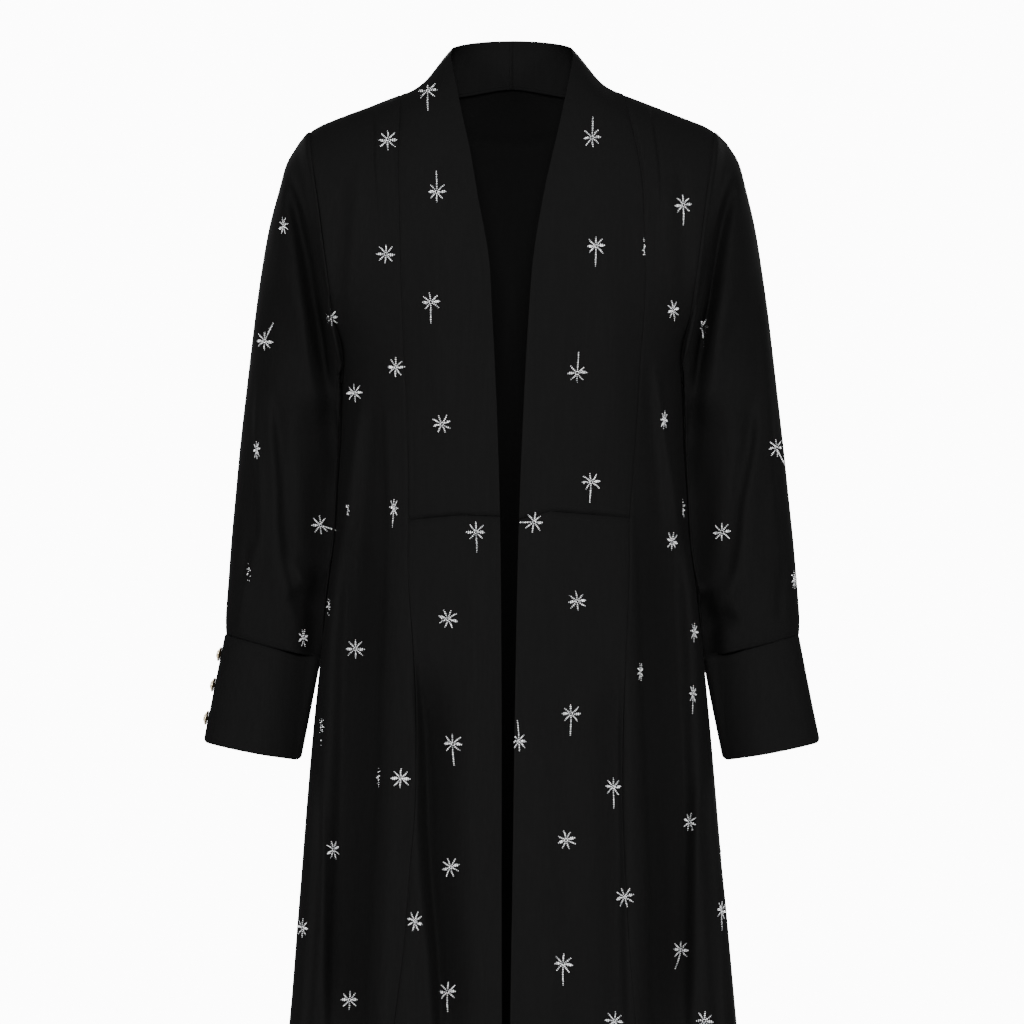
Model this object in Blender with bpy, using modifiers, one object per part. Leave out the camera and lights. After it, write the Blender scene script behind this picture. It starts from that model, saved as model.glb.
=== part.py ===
"""Open-front abaya cloak, worn form with no wearer in it. Metres, +Z up, the front faces -Y.

The origin lies between the shoulders, level with the neck ends of the shoulder seams.
Left and right are the wearer's, so left is +X.
"""

import math

import bmesh
import bpy
import numpy as np
from mathutils import Vector

# Driving sizes in metres.
MM = 0.001
CLOTH = 1.5 * MM
SEAM_GAP = 0.4 * MM
HEM_Z = -1390 * MM
WAIST_Z = -431 * MM
UNDERARM_Z = -295 * MM

# The shoulder line falls evenly from the neck to the armhole and is rounded at the middle and
# at its tip.
SHOULDER_NECK_X = 115 * MM
SHOULDER_NECK_Z = 5.5 * MM
SHOULDER_FALL = 0.39
SHOULDER_ROUNDING = 20 * MM
SHOULDER_POWER = 4
SHOULDER_TIP = (195 * MM, 213 * MM)
SHOULDER_TIP_DROP = 2.4 * MM

# The armhole is an upright ellipse when seen from the side, narrowed towards its foot.
ARMHOLE_HALF_DEPTH = 80 * MM
ARMHOLE_FOOT_SHARE = 0.35
ARMHOLE_FOOT_RISE = 0.45
ARMHOLE_STEPS = 10

# The back neckline is cut this share of the armhole's height below the shoulder line, fading
# out at a level lower down the back.
BACK_NECK_DROP = 0.072
BACK_NECK_FADE = 0.4

# The collar's top edge is half an ellipse round the back of the neck.
COLLAR_HALF_WIDTH = 64.5 * MM
COLLAR_BACK_Y = 52 * MM
COLLAR_SIDE_Y = 2 * MM
COLLAR_SIDE_Z = 52.5 * MM
COLLAR_BACK_Z = 67.5 * MM

# How far the collar is hollowed at the side of the neck, and the band crowned on the chest. The
# hollow is deepest a third of the way up, and its scale makes it 1 there.
COLLAR_HOLLOW = 3.6 * MM
SAG_SCALE = 27 / 4
COLLAR_BACK_HOLLOW_SHARE = 0.4
BAND_CROWN = 4 * MM

# Levels between which the band leaves the chest and turns up, and the highest level at which
# its free edge is still read from the table.
BAND_LEAVES = (0.60, 0.97)
BAND_HOLLOWS = (0.90, 1.0)
FREE_EDGE_TOP = 0.95

# Sections of the body, in millimetres: height, half width, depth in front, depth behind.
BODY_COLUMNS = ("height", "half_width", "front", "back")
BODY_SECTIONS = (
    (-1390, 270.0, 166, 176),
    (-1250, 258.0, 158, 166),
    (-1100, 245.0, 149, 154),
    (-956, 231.5, 140, 142),
    (-850, 222.8, 133, 132),
    (-785, 216.8, 129, 126),
    (-704, 209.6, 124, 119),
    (-630, 203.0, 120, 113),
    (-560, 195.9, 116, 108),
    (-505, 189.8, 114, 105),
    (-450, 182.5, 112, 102),
    (-400, 179.5, 112, 102),
    (-345, 176.5, 113, 103),
    (-295, 176.0, 112, 104),
)

# Half width at the armhole seam, in millimetres, by the share of the armhole's height. Below
# ARMHOLE_BLEND the seam is cut in from this line, as the body's side is still upright there.
ARMHOLE_BLEND = 0.25
ARMHOLE_COLUMNS = ("rise", "half_width")
ARMHOLE_SECTIONS = (
    (0.00, 176.0),
    (0.16, 180.0),
    (0.32, 184.5),
    (0.50, 190.5),
    (0.70, 197.5),
    (0.87, 204.5),
    (1.00, 209.0),
)

# Distance of each front seam and free edge from the middle, in millimetres, by height.
SEAM_COLUMNS = ("height", "right", "left")
FRONT_SEAMS = (
    (-1390, 136.4, 142.2),
    (-1125, 125.6, 131.4),
    (-940, 116.3, 123.1),
    (-866, 108.5, 116.4),
    (-793, 103.0, 112.7),
    (-731, 97.6, 110.8),
    (-670, 95.7, 111.0),
    (-596, 96.9, 113.6),
    (-549, 100.1, 116.2),
    (-486, 105.2, 119.3),
    (-431, 105.3, 120.0),
    (-382, 105.4, 124.3),
    (-322, 107.5, 128.9),
    (-263, 110.4, 131.7),
    (-222, 111.5, 134.7),
    (-172, 112.6, 135.0),
    (-134, 113.4, 133.9),
    (-97, 114.6, 132.6),
    (-62, 115.7, 128.1),
    (-32, 114.8, 122.1),
    (4, 115.0, 115.0),
)
FREE_EDGES = (
    (-1390, 9.2, -2.5),
    (-933, 10.0, -1.9),
    (-816, 10.3, 0.0),
    (-615, 10.6, 3.0),
    (-504, 11.1, 5.1),
    (-430, 12.1, 7.0),
    (-354, 14.1, 10.1),
    (-223, 20.1, 17.1),
    (-172, 23.1, 21.1),
    (-104, 35.1, 32.2),
    (-49, 44.0, 43.5),
    (3, 54.2, 53.1),
    (46, 62.6, 63.4),
)

# Free edge of the band where it leaves the chest and turns up into the collar, in millimetres.
TURN_UP_COLUMNS = ("rise", "half_width", "front", "height")
TURN_UP = (
    (0.60, 36.0, 105.0, -104),
    (0.70, 42.0, 96.0, -69),
    (0.80, 49.0, 83.0, -34),
    (0.90, 55.5, 61.0, 2),
    (0.97, 61.2, 34.0, 31),
    (1.00, 64.0, 15.0, 46),
)

# Hanging folds of the skirt. Each is a ridge, or a valley where its height is negative.
# turn and half_turn are degrees round the body from the middle of the front, to the wearer's
# left. start is the height where it begins and depth its height at the hem, in millimetres.
FOLD_FALL_POWER = 1.25
SKIRT_FOLDS = (
    (-75, 7, -520, -11),
    (-60, 6, -560, 13),
    (-46, 7, -470, -15),
    (-33, 6, -450, 15),
    (-20, 7, -480, -11),
    (-9, 5, -620, 5),
    (9, 5, -620, 5),
    (19, 6, -500, -9),
    (31, 6, -440, 14),
    (46, 8, -470, -16),
    (60, 6, -560, 13),
    (76, 7, -540, -11),
    (101, 7, -500, 12),
    (114, 7, -480, -13),
    (127, 7, -430, 16),
    (141, 7, -450, -14),
    (156, 8, -500, 14),
    (171, 8, -470, -15),
    (187, 8, -440, 16),
    (202, 8, -480, -13),
    (216, 7, -430, 15),
    (231, 7, -460, -14),
    (245, 7, -500, 14),
    (258, 6, -520, -11),
)

# Soft waves of the upper body: turn and half_turn in degrees, then the low end, the high end
# and the depth in millimetres.
BODY_WAVES = (
    (-66, 7, -560, -300, 4.0),
    (-52, 8, -540, -250, -3.0),
    (66, 7, -540, -290, 4.0),
    (52, 8, -560, -240, -3.0),
    (126, 9, -620, -240, -4.0),
    (150, 10, -560, -260, 3.0),
    (211, 10, -600, -250, 3.0),
    (236, 9, -620, -230, -4.0),
)

# Pressed pleat of each side front, beside the band at the shoulder.
PLEAT_SHARE = 0.23
PLEAT_END_SHARE = 0.27
PLEAT_HEIGHT = 2.5 * MM
PLEAT_RISE_SHARE = 0.06
PLEAT_FADE_Z = (-150 * MM, -60 * MM)
PLEAT_TOP_FADE = (0.96, 1.0)

# Rings of the sleeve, in millimetres: the outer point and the point beside the body, seen from
# the front, then the ring's half depth and how far back its middle lies. The columns are
# outer_x, outer_z, inner_x, inner_z, half_depth and back.
SLEEVE_RINGS = (
    (219, -43, 178, -301, 81, 6),
    (233, -63, 176, -312, 80, 16),
    (243.5, -91, 174, -326, 78, 26),
    (253, -130, 172, -342, 75, 34),
    (261, -175, 171, -360, 71, 40),
    (268, -222, 170, -379, 67, 43),
    (274, -270, 169, -399, 64, 45),
    (279.5, -318, 169, -422, 61, 46),
    (284.5, -364, 170, -448, 59, 46),
    (289, -410, 173, -476, 57, 45),
    (293.5, -455, 178, -506, 55, 43),
    (297.5, -498, 184, -537, 53, 40),
    (300.5, -532, 191, -561, 50, 36),
    (301, -548, 197, -573, 43, 32),
)
BODY_CLEARANCE = 4 * MM
CLEARANCE_TOP = 0.99

# Ends of the cuff, in millimetres, with the same columns as the sleeve.
CUFF_ENDS = (
    (299, -554, 198.5, -579, 33, 31),
    (321, -665, 220, -685, 34, 21),
)
CUFF_RINGS = 6
CUFF_HALF_WIDTH = 51 * MM

# The cuff's hem is rounded up at its two folds, within the lowest part of the cuff.
CUFF_CORNER = 6 * MM
CUFF_CORNER_SHARE = 0.16

# Three shank buttons on each cuff. The angle is degrees round the cuff from its outer edge to
# the back. The left cuff has turned on the arm, so its buttons lie at the back.
BUTTON_SHARES = (0.19, 0.477, 0.785)
BUTTON_ANGLES = {"right": 4, "left": 62}
BUTTON_SIDES = 14
BUTTON_PROFILE = (
    (0.0, 5.8),
    (2.8, 5.5),
    (4.9, 4.6),
    (6.2, 3.2),
    (6.8, 2.7),
    (7.6, 2.2),
    (7.6, 1.5),
    (6.2, 0.9),
    (2.2, 0.8),
    (2.2, 0.0),
    (0.0, 0.0),
)

# Columns of the panels, as shares from one seam to the next. The narrow last ones keep the
# cloth's edges parallel at the side seams.
SIDE_FRONT_SHARES = (0, 0.012, 0.12, PLEAT_SHARE, PLEAT_END_SHARE, 0.38, 0.49, 0.60, 0.71, 0.82, 0.91, 0.975, 1)
BACK_NECK_STEPS = 5
BACK_NECK_SHARE = 0.513
BACK_SHARES = (0.60, 0.68, 0.76, 0.84, 0.91, 0.975, 1)
BAND_STEPS = 4
LOWER_FRONT_SHARES = (0, 0.02, 0.20, 0.36, 0.52, 0.68, 0.84, 1)

# Heights of the rows below the armhole, in millimetres.
LOW_ROWS = (-335, -383, -431, -475, -520, -565, -615, -668, -725, -785, -850, -920, -995, -1075, -1160,
            -1245, -1322, -1390)
SHOULDER_STRIP = 0.997
SLEEVE_STRIP = 3 * MM
SAME_LEVEL = 1e-9

# Materials: colour, roughness and metallic value.
BLACK_CLOTH = ((0.010, 0.010, 0.011), 0.85, 0.0)
OLD_GOLD = ((0.62, 0.45, 0.20), 0.34, 1.0)


def column(names, table, name):
    """One named column of a table, as numbers."""
    at = names.index(name)
    return np.array([row[at] for row in table], dtype=float)


def curve_through(xs, ys, at):
    """Smooth curve through the points, held level beyond its ends."""
    at = np.clip(np.asarray(at, dtype=float), xs[0], xs[-1])
    slopes = np.gradient(ys, xs)
    i = np.clip(np.searchsorted(xs, at, side="right") - 1, 0, len(xs) - 2)
    span = xs[i + 1] - xs[i]
    t = (at - xs[i]) / span
    rise = ys[i + 1] - ys[i]
    a = slopes[i] * span - rise
    b = rise - slopes[i + 1] * span
    return ys[i] + t * rise + t * (1 - t) * (a * (1 - t) + b * t)


def read(names, table, name, at):
    """Value of a named column at a place in the table's first column."""
    xs = column(names, table, names[0])
    return curve_through(xs, column(names, table, name), at)


def ease(low, high, at):
    """Smooth rise from 0 at low to 1 at high."""
    t = np.clip((at - low) / (high - low), 0, 1)
    return t * t * (3 - 2 * t)


def body_size(name, z):
    """A column of the body's sections at a height, in metres."""
    return read(BODY_COLUMNS, BODY_SECTIONS, name, np.asarray(z) / MM) * MM


def side_sign(side):
    """+1 on the wearer's left, -1 on the right."""
    return 1 if side == "left" else -1


def shoulder_line(x):
    """Height of the shoulder seam above a place across the body."""
    rounded = np.sqrt(x * x + SHOULDER_ROUNDING**2)
    at_neck = math.hypot(SHOULDER_NECK_X, SHOULDER_ROUNDING)
    tip = SHOULDER_TIP_DROP * ease(*SHOULDER_TIP, np.abs(x))
    return SHOULDER_NECK_Z - SHOULDER_FALL * (rounded - at_neck) - tip


def armhole_reach(rise, depth):
    """Half width that the body's section would have at a level beside the armhole."""
    side = body_size("half_width", UNDERARM_Z)
    wide = read(ARMHOLE_COLUMNS, ARMHOLE_SECTIONS, "half_width", rise) * MM
    wide = wide / np.sqrt(1 - armhole_share(rise, depth) ** 2)
    return side + (wide - side) * ease(0, ARMHOLE_BLEND, rise)


def armhole_half_width(rise, depth):
    """Distance of the armhole seam from the middle of the body."""
    return armhole_reach(rise, depth) * np.sqrt(1 - armhole_share(rise, depth) ** 2)


def armhole_narrowing(rise):
    """How much of the ellipse's depth the armhole keeps towards its foot."""
    return ARMHOLE_FOOT_SHARE + (1 - ARMHOLE_FOOT_SHARE) * ease(0, ARMHOLE_FOOT_RISE, rise)


def armhole_share(rise, depth):
    """Depth of the armhole as a share of the body's depth at the same level."""
    powers = sum(rise**power for power in range(SHOULDER_POWER))
    return 2 * ARMHOLE_HALF_DEPTH / depth * np.sqrt(rise / powers) * armhole_narrowing(rise)


def armhole_turn(rise, name):
    """Angle of the armhole seam from the middle of the front, or of the back."""
    return np.arccos(armhole_share(rise, body_size(name, UNDERARM_Z)))


def folds(turn, z):
    """How far the hanging folds and waves stand out of the plain section."""
    degrees = np.degrees(turn)
    total = np.zeros(np.broadcast(degrees, z).shape)
    for at, half, start, depth in SKIRT_FOLDS:
        away = (degrees - at + 180) % 360 - 180
        drop = np.clip((start * MM - z) / (start * MM - HEM_Z), 0, 1)
        total = total + depth * MM * drop**FOLD_FALL_POWER * np.exp(-((away / half) ** 2))
    for at, half, low, high, depth in BODY_WAVES:
        away = (degrees - at + 180) % 360 - 180
        share = np.clip((z / MM - low) / (high - low), 0, 1)
        total = total + depth * MM * np.sin(math.pi * share) ** 2 * np.exp(-((away / half) ** 2))
    return total


def body_point(turn, level):
    """Point of the body's outer face.

    turn is the angle from the middle of the front. level is 0 at the underarm and 1 on the
    shoulder line, and below the underarm it is minus the drop in metres.
    """
    turn = np.asarray(turn, dtype=float)
    rise = np.clip(level, 0, 1)
    z_low = UNDERARM_Z + np.minimum(level, 0)
    ahead = np.cos(turn) > 0
    depth_low = np.where(ahead, body_size("front", z_low), body_size("back", z_low))
    depth = depth_low * np.sqrt(1 - rise**SHOULDER_POWER)
    reach = np.where(rise > 0, armhole_reach(rise, depth_low), body_size("half_width", z_low))
    x = reach * np.sin(turn)
    y = -depth * np.cos(turn)
    z = z_low + rise * (shoulder_line(x) - UNDERARM_Z)
    out = folds(turn, z)
    length = np.hypot(np.sin(turn) / reach, np.cos(turn) / depth_low)
    x = x + out * np.sin(turn) / reach / length
    y = y - out * np.cos(turn) / depth_low / length
    return np.stack(np.broadcast_arrays(x, y, z), axis=-1)


def turn_at(table, side, level):
    """Angle where a front seam or free edge crosses a level."""
    rise = max(level, 0)
    z = UNDERARM_Z + min(level, 0)
    x = 0.0
    for _ in range(4):
        x = float(read(SEAM_COLUMNS, table, side, z / MM)) * MM
        z = UNDERARM_Z + min(level, 0) + rise * (float(shoulder_line(x)) - UNDERARM_Z)
    if rise > 0:
        reach = float(armhole_reach(rise, body_size("front", UNDERARM_Z)))
    else:
        reach = float(body_size("half_width", z))
    return side_sign(side) * math.asin(x / reach)


def armhole_levels():
    """Levels of the rows beside the armhole, from the shoulder down to the underarm."""
    levels = [(1 + math.cos(math.pi * step / ARMHOLE_STEPS)) / 2 for step in range(ARMHOLE_STEPS + 1)]
    levels.insert(1, SHOULDER_STRIP)
    return levels


def body_levels():
    """Levels of all rows of the body, from the shoulder to the hem."""
    return armhole_levels() + [row * MM - UNDERARM_Z for row in LOW_ROWS]


def ring_angles():
    """Angles of a sleeve ring's points, which meet the rows of the body at the armhole."""
    half = [math.acos(2 * level - 1) for level in armhole_levels()]
    return np.array(half + [2 * math.pi - angle for angle in reversed(half[1:-1])])


def inset(edge, neighbour, amount=SEAM_GAP / 2):
    """Edge points moved towards their neighbours by half the seam's gap."""
    along = neighbour - edge
    return edge + along / np.linalg.norm(along, axis=-1, keepdims=True) * amount


def trim(grid, top=False, bottom=False, first=False, last=False):
    """A grid of points, drawn back from the seams named."""
    grid = grid.copy()
    if top:
        grid[0] = inset(grid[0], grid[1])
    if bottom:
        grid[-1] = inset(grid[-1], grid[-2])
    if first:
        grid[:, 0] = inset(grid[:, 0], grid[:, 1])
    if last:
        grid[:, -1] = inset(grid[:, -1], grid[:, -2])
    return grid


def material(name, look):
    """A Principled material of one colour, roughness and metallic value."""
    colour, roughness, metallic = look
    made = bpy.data.materials.new(name)
    made.use_nodes = True
    shader = made.node_tree.nodes["Principled BSDF"]
    shader.inputs["Base Color"].default_value = (*colour, 1)
    shader.inputs["Roughness"].default_value = roughness
    shader.inputs["Metallic"].default_value = metallic
    made.diffuse_color = (*colour, 1)
    return made


def cloth(name, grid, collection, tube=False, turned=False):
    """A panel of cloth: an open surface through a grid of points, given its thickness."""
    rows, columns = grid.shape[:2]
    mesh = bpy.data.meshes.new(name)
    shape = bmesh.new()
    points = [[shape.verts.new(grid[i, j]) for j in range(columns)] for i in range(rows)]
    for i in range(rows - 1):
        for j in range(columns if tube else columns - 1):
            after = (j + 1) % columns
            face = [points[i][j], points[i + 1][j], points[i + 1][after], points[i][after]]
            shape.faces.new(reversed(face) if turned else face)
    shape.to_mesh(mesh)
    shape.free()
    mesh.shade_smooth()
    piece = bpy.data.objects.new(name, mesh)
    collection.objects.link(piece)
    piece.data.materials.append(material(name + "_cloth", BLACK_CLOTH))
    wall = piece.modifiers.new("wall", "SOLIDIFY")
    wall.thickness = CLOTH
    wall.offset = -1
    wall.use_quality_normals = True
    return piece


def pleat(share, z):
    """Height of the pressed pleat over the side front."""
    rise = ease(0, PLEAT_RISE_SHARE, share) * (1 - ease(PLEAT_SHARE, PLEAT_END_SHARE, share))
    return PLEAT_HEIGHT * rise * ease(*PLEAT_FADE_Z, z)


def side_front_grid(side):
    """Side front from the shoulder to the hem, from the band's seam to the side seam."""
    rows = []
    for level in body_levels():
        rise = max(level, 0)
        seam = turn_at(FRONT_SEAMS, side, level)
        edge = side_sign(side) * (float(armhole_turn(rise, "front")) if rise > 0 else math.pi / 2)
        shares = np.array(SIDE_FRONT_SHARES)
        row = body_point(seam + (edge - seam) * shares, level)
        row[:, 1] -= pleat(shares, row[:, 2]) * (1 - ease(*PLEAT_TOP_FADE, rise))
        rows.append(row)
    return np.array(rows)


def back_shares():
    """Columns of the back as shares of the half width, from the right to the left."""
    neck = [BACK_NECK_SHARE * step / BACK_NECK_STEPS for step in range(BACK_NECK_STEPS + 1)]
    half = neck + list(BACK_SHARES)
    return [-share for share in reversed(half[1:])] + half


def back_grid():
    """Back from the shoulders and neckline to the hem."""
    top_turn = float(armhole_turn(1, "back"))
    top_reach = float(armhole_reach(1, body_size("back", UNDERARM_Z)))
    rows = []
    for level in body_levels():
        row = []
        for share in back_shares():
            edge = float(armhole_turn(level, "back")) if level > 0 else math.pi / 2
            across = min(abs(top_reach * math.sin(share * top_turn)) / SHOULDER_NECK_X, 1)
            lowered = BACK_NECK_DROP * (1 - across**2) * float(ease(BACK_NECK_FADE, 1, level))
            row.append(body_point(math.pi - share * edge, level - lowered))
        rows.append(row)
    return np.array(rows)


def band_grid(side, back_neck):
    """Front band and collar from the waist up over the shoulder to the middle of the back."""
    sign = side_sign(side)
    levels = [level for level in reversed(body_levels()) if level >= WAIST_Z - UNDERARM_Z - SAME_LEVEL]
    shares = np.linspace(0, 1, BAND_STEPS + 1)
    rows = []
    for level in levels:
        rise = max(level, 0)
        seam = turn_at(FRONT_SEAMS, side, level)
        edge = turn_at(FREE_EDGES, side, min(level, FREE_EDGE_TOP))
        on_chest = body_point(seam + (edge - seam) * shares, level)
        height = read(TURN_UP_COLUMNS, TURN_UP, "height", rise) * MM
        across = sign * read(TURN_UP_COLUMNS, TURN_UP, "half_width", rise) * MM
        ahead = -read(TURN_UP_COLUMNS, TURN_UP, "front", rise) * MM
        hollow = float(ease(*BAND_HOLLOWS, rise))
        turned_up = rule(on_chest[0], np.array((across, ahead, height)), shares, hollow)
        blend = float(ease(*BAND_LEAVES, rise))
        rows.append(on_chest * (1 - blend) + turned_up * blend)
    for outer in back_neck[1:]:
        across = min(abs(outer[0]) / SHOULDER_NECK_X, 1)
        round_back = math.sqrt(1 - across**2)
        top = np.array((
            sign * COLLAR_HALF_WIDTH * across,
            COLLAR_SIDE_Y + (COLLAR_BACK_Y - COLLAR_SIDE_Y) * round_back,
            COLLAR_SIDE_Z + (COLLAR_BACK_Z - COLLAR_SIDE_Z) * round_back,
        ))
        hollow = 1 - (1 - COLLAR_BACK_HOLLOW_SHARE) * round_back
        rows.append(rule(outer, top, shares, hollow))
    return np.array(rows)


def back_neckline(back, side):
    """Back neckline's points on one side, from the shoulder seam to the middle of the back."""
    middle = len(BACK_SHARES) + BACK_NECK_STEPS
    if side == "left":
        return back[0][middle : middle + BACK_NECK_STEPS + 1][::-1]
    return back[0][middle - BACK_NECK_STEPS : middle + 1]


def rule(outer, inner, shares, hollow):
    """Points from the seam to the free edge. hollow bends them down at the side of the neck."""
    line = outer + (inner - outer) * shares[:, None]
    sag = SAG_SCALE * shares * (1 - shares) ** 2
    crown = 4 * shares * (1 - shares)
    outward = np.array((outer[0], outer[1], 0.0))
    outward /= np.linalg.norm(outward)
    line -= sag[:, None] * hollow * COLLAR_HOLLOW * (outward + np.array((0, 0, 1.0)))
    line += crown[:, None] * (1 - hollow) * BAND_CROWN * outward
    return line


def lower_front_grid(side):
    """Lower front from the waist to the hem, from its seam to the free edge."""
    rows = []
    for level in body_levels():
        if level > WAIST_Z - UNDERARM_Z + SAME_LEVEL:
            continue
        seam = turn_at(FRONT_SEAMS, side, level)
        edge = turn_at(FREE_EDGES, side, level)
        rows.append(body_point(seam + (edge - seam) * np.array(LOWER_FRONT_SHARES), level))
    return np.array(rows)


def ring(row, side):
    """Ring of a sleeve or cuff, from its outer point forward and round."""
    outer_x, outer_z, inner_x, inner_z, half_depth, back = [value * MM for value in row]
    angles = ring_angles()
    middle_x, middle_z = (outer_x + inner_x) / 2, (outer_z + inner_z) / 2
    x = middle_x + (outer_x - middle_x) * np.cos(angles)
    z = middle_z + (outer_z - middle_z) * np.cos(angles)
    y = back - half_depth * np.sin(angles)
    return np.stack((side_sign(side) * x, y, z), axis=-1)


def armhole_ring(side, away):
    """Ring of the sleeve's head, a little way outside the armhole and down the shoulder's line."""
    angles = ring_angles()
    rise = (1 + np.cos(angles)) / 2
    ahead = np.sin(angles) > 0
    depth = np.where(ahead, body_size("front", UNDERARM_Z), body_size("back", UNDERARM_Z))
    x = armhole_half_width(rise, depth)
    z = UNDERARM_Z + rise * (shoulder_line(x) - UNDERARM_Z)
    z = z - away * SHOULDER_FALL * np.clip(np.cos(angles), 0, 1)
    y = -ARMHOLE_HALF_DEPTH * np.sin(angles) * armhole_narrowing(rise)
    return np.stack((side_sign(side) * (x + away), y, z), axis=-1)


def clear_of_body(points):
    """Sleeve points moved out where they would come too near the body."""
    x, y, z = np.abs(points[..., 0]), points[..., 1], points[..., 2]
    rise = np.clip((z - UNDERARM_Z) / (shoulder_line(x) - UNDERARM_Z), 0, CLEARANCE_TOP)
    z_low = np.minimum(z, UNDERARM_Z)
    depth = np.where(y < 0, body_size("front", z_low), body_size("back", z_low))
    reach = np.where(rise > 0, armhole_reach(rise, depth), body_size("half_width", z_low))
    seam = np.where(rise > 0, armhole_half_width(rise, depth), reach)
    depth = depth * np.sqrt(1 - rise**SHOULDER_POWER) + BODY_CLEARANCE
    inside = np.clip(1 - (y / depth) ** 2, 0, 1)
    limit = np.minimum(reach * np.sqrt(inside), seam) + BODY_CLEARANCE
    moved = np.where(inside > 0, np.maximum(x, limit), x)
    points = points.copy()
    points[..., 0] = np.sign(points[..., 0]) * moved
    return points


def cuff_grid(side):
    """Cuff from its seam to its hem."""
    ends = [ring(row, side) for row in CUFF_ENDS]
    from_fold = CUFF_HALF_WIDTH * (1 - np.abs(np.cos(ring_angles())))
    short = np.clip(CUFF_CORNER - from_fold, 0, None)
    lift = CUFF_CORNER - np.sqrt(CUFF_CORNER**2 - short**2)
    length = np.linalg.norm(ends[1] - ends[0], axis=-1)
    rows = []
    for share in list(np.linspace(0, 1 - CUFF_CORNER_SHARE, CUFF_RINGS)) + [1.0]:
        shorter = share - lift / length * ease(1 - CUFF_CORNER_SHARE, 1, share)
        rows.append(ends[0] + (ends[1] - ends[0]) * shorter[:, None])
    return np.array(rows)


def sleeve_grid(side):
    """Sleeve from the armhole to the cuff's seam."""
    rings = [clear_of_body(ring(row, side)) for row in SLEEVE_RINGS]
    cuff = cuff_grid(side)
    along = cuff[0] - cuff[1]
    seam = cuff[0] + along / np.linalg.norm(along, axis=-1, keepdims=True) * SEAM_GAP
    head = [armhole_ring(side, away) for away in (SEAM_GAP, SLEEVE_STRIP)]
    return np.array(head + rings + [seam])


def button(name, place, outward, collection):
    """Domed shank button, turned about its own axis."""
    profile = [(radius * MM, 0, height * MM) for radius, height in BUTTON_PROFILE]
    mesh = bpy.data.meshes.new(name)
    mesh.from_pydata(profile, [(i, i + 1) for i in range(len(profile) - 1)], [])
    piece = bpy.data.objects.new(name, mesh)
    collection.objects.link(piece)
    piece.location = place
    piece.rotation_mode = "QUATERNION"
    piece.rotation_quaternion = Vector(outward).to_track_quat("Z", "Y")
    piece.data.materials.append(material(name + "_metal", OLD_GOLD))
    turned = piece.modifiers.new("turned", "SCREW")
    turned.steps = BUTTON_SIDES
    turned.render_steps = BUTTON_SIDES
    turned.use_merge_vertices = True
    turned.merge_threshold = 0.0001
    turned.use_smooth_shade = True
    return piece


def button_seat(side, share):
    """Place and outward direction of a button on its cuff."""
    ends = [np.array(row) * MM for row in CUFF_ENDS]
    outer_x, outer_z, inner_x, inner_z, half_depth, back = ends[0] + (ends[1] - ends[0]) * share
    angle = math.radians(BUTTON_ANGLES[side])
    across = np.array((outer_x - inner_x, 0, outer_z - inner_z)) / 2
    middle = np.array(((outer_x + inner_x) / 2, back, (outer_z + inner_z) / 2))
    place = middle + across * math.cos(angle) + np.array((0, half_depth * math.sin(angle), 0))
    half_width = np.linalg.norm(across)
    outward = across / half_width * math.cos(angle) / half_width
    outward += np.array((0, math.sin(angle) / half_depth, 0))
    outward /= np.linalg.norm(outward)
    mirror = np.array((side_sign(side), 1, 1))
    return place * mirror, outward * mirror


def clear_scene():
    """Remove whatever the file holds."""
    for piece in list(bpy.data.objects):
        bpy.data.objects.remove(piece, do_unlink=True)


def build():
    """Make every piece of the cloak."""
    clear_scene()
    cloak = bpy.data.collections.new("abaya_cloak")
    bpy.context.scene.collection.children.link(cloak)

    back = back_grid()
    cloth("back", trim(back, top=True, first=True, last=True), cloak, turned=True)
    for side in ("right", "left"):
        left = side == "left"
        front = side_front_grid(side)
        cloth("side_front_" + side, trim(front, top=True, first=True, last=True), cloak, turned=not left)
        band = band_grid(side, back_neckline(back, side))
        cloth("band_" + side, trim(band, top=True, bottom=True, first=True), cloak, turned=not left)
        lower = lower_front_grid(side)
        cloth("lower_front_" + side, trim(lower, top=True, first=True), cloak, turned=left)
        cloth("sleeve_" + side, sleeve_grid(side), cloak, tube=True, turned=left)
        cloth("cuff_" + side, cuff_grid(side), cloak, tube=True, turned=left)
        for number, share in enumerate(BUTTON_SHARES, start=1):
            place, outward = button_seat(side, share)
            button(f"button_{side}_{number}", place + outward * SEAM_GAP, outward, cloak)


build()
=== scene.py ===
"""Looks of the open-front abaya cloak: crepe shells, seams, creases, beading, buttons and studio."""

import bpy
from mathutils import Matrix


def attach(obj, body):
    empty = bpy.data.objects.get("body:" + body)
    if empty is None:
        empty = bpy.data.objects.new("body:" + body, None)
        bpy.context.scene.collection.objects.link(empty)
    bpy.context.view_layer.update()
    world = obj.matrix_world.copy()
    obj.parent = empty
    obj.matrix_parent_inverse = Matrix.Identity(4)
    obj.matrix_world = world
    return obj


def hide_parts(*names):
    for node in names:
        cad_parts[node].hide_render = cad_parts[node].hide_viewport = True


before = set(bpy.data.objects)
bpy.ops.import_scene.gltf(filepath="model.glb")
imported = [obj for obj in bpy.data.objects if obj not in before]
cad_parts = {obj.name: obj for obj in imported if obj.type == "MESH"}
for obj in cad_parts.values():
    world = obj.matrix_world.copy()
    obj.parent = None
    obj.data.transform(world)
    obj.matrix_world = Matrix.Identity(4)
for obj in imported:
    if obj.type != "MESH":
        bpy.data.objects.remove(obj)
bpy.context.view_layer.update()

import math
import random

import bmesh
import bpy
import numpy as np
from mathutils import Vector
from mathutils.bvhtree import BVHTree

MM = 0.001
TINY = 0.001 * MM

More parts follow.
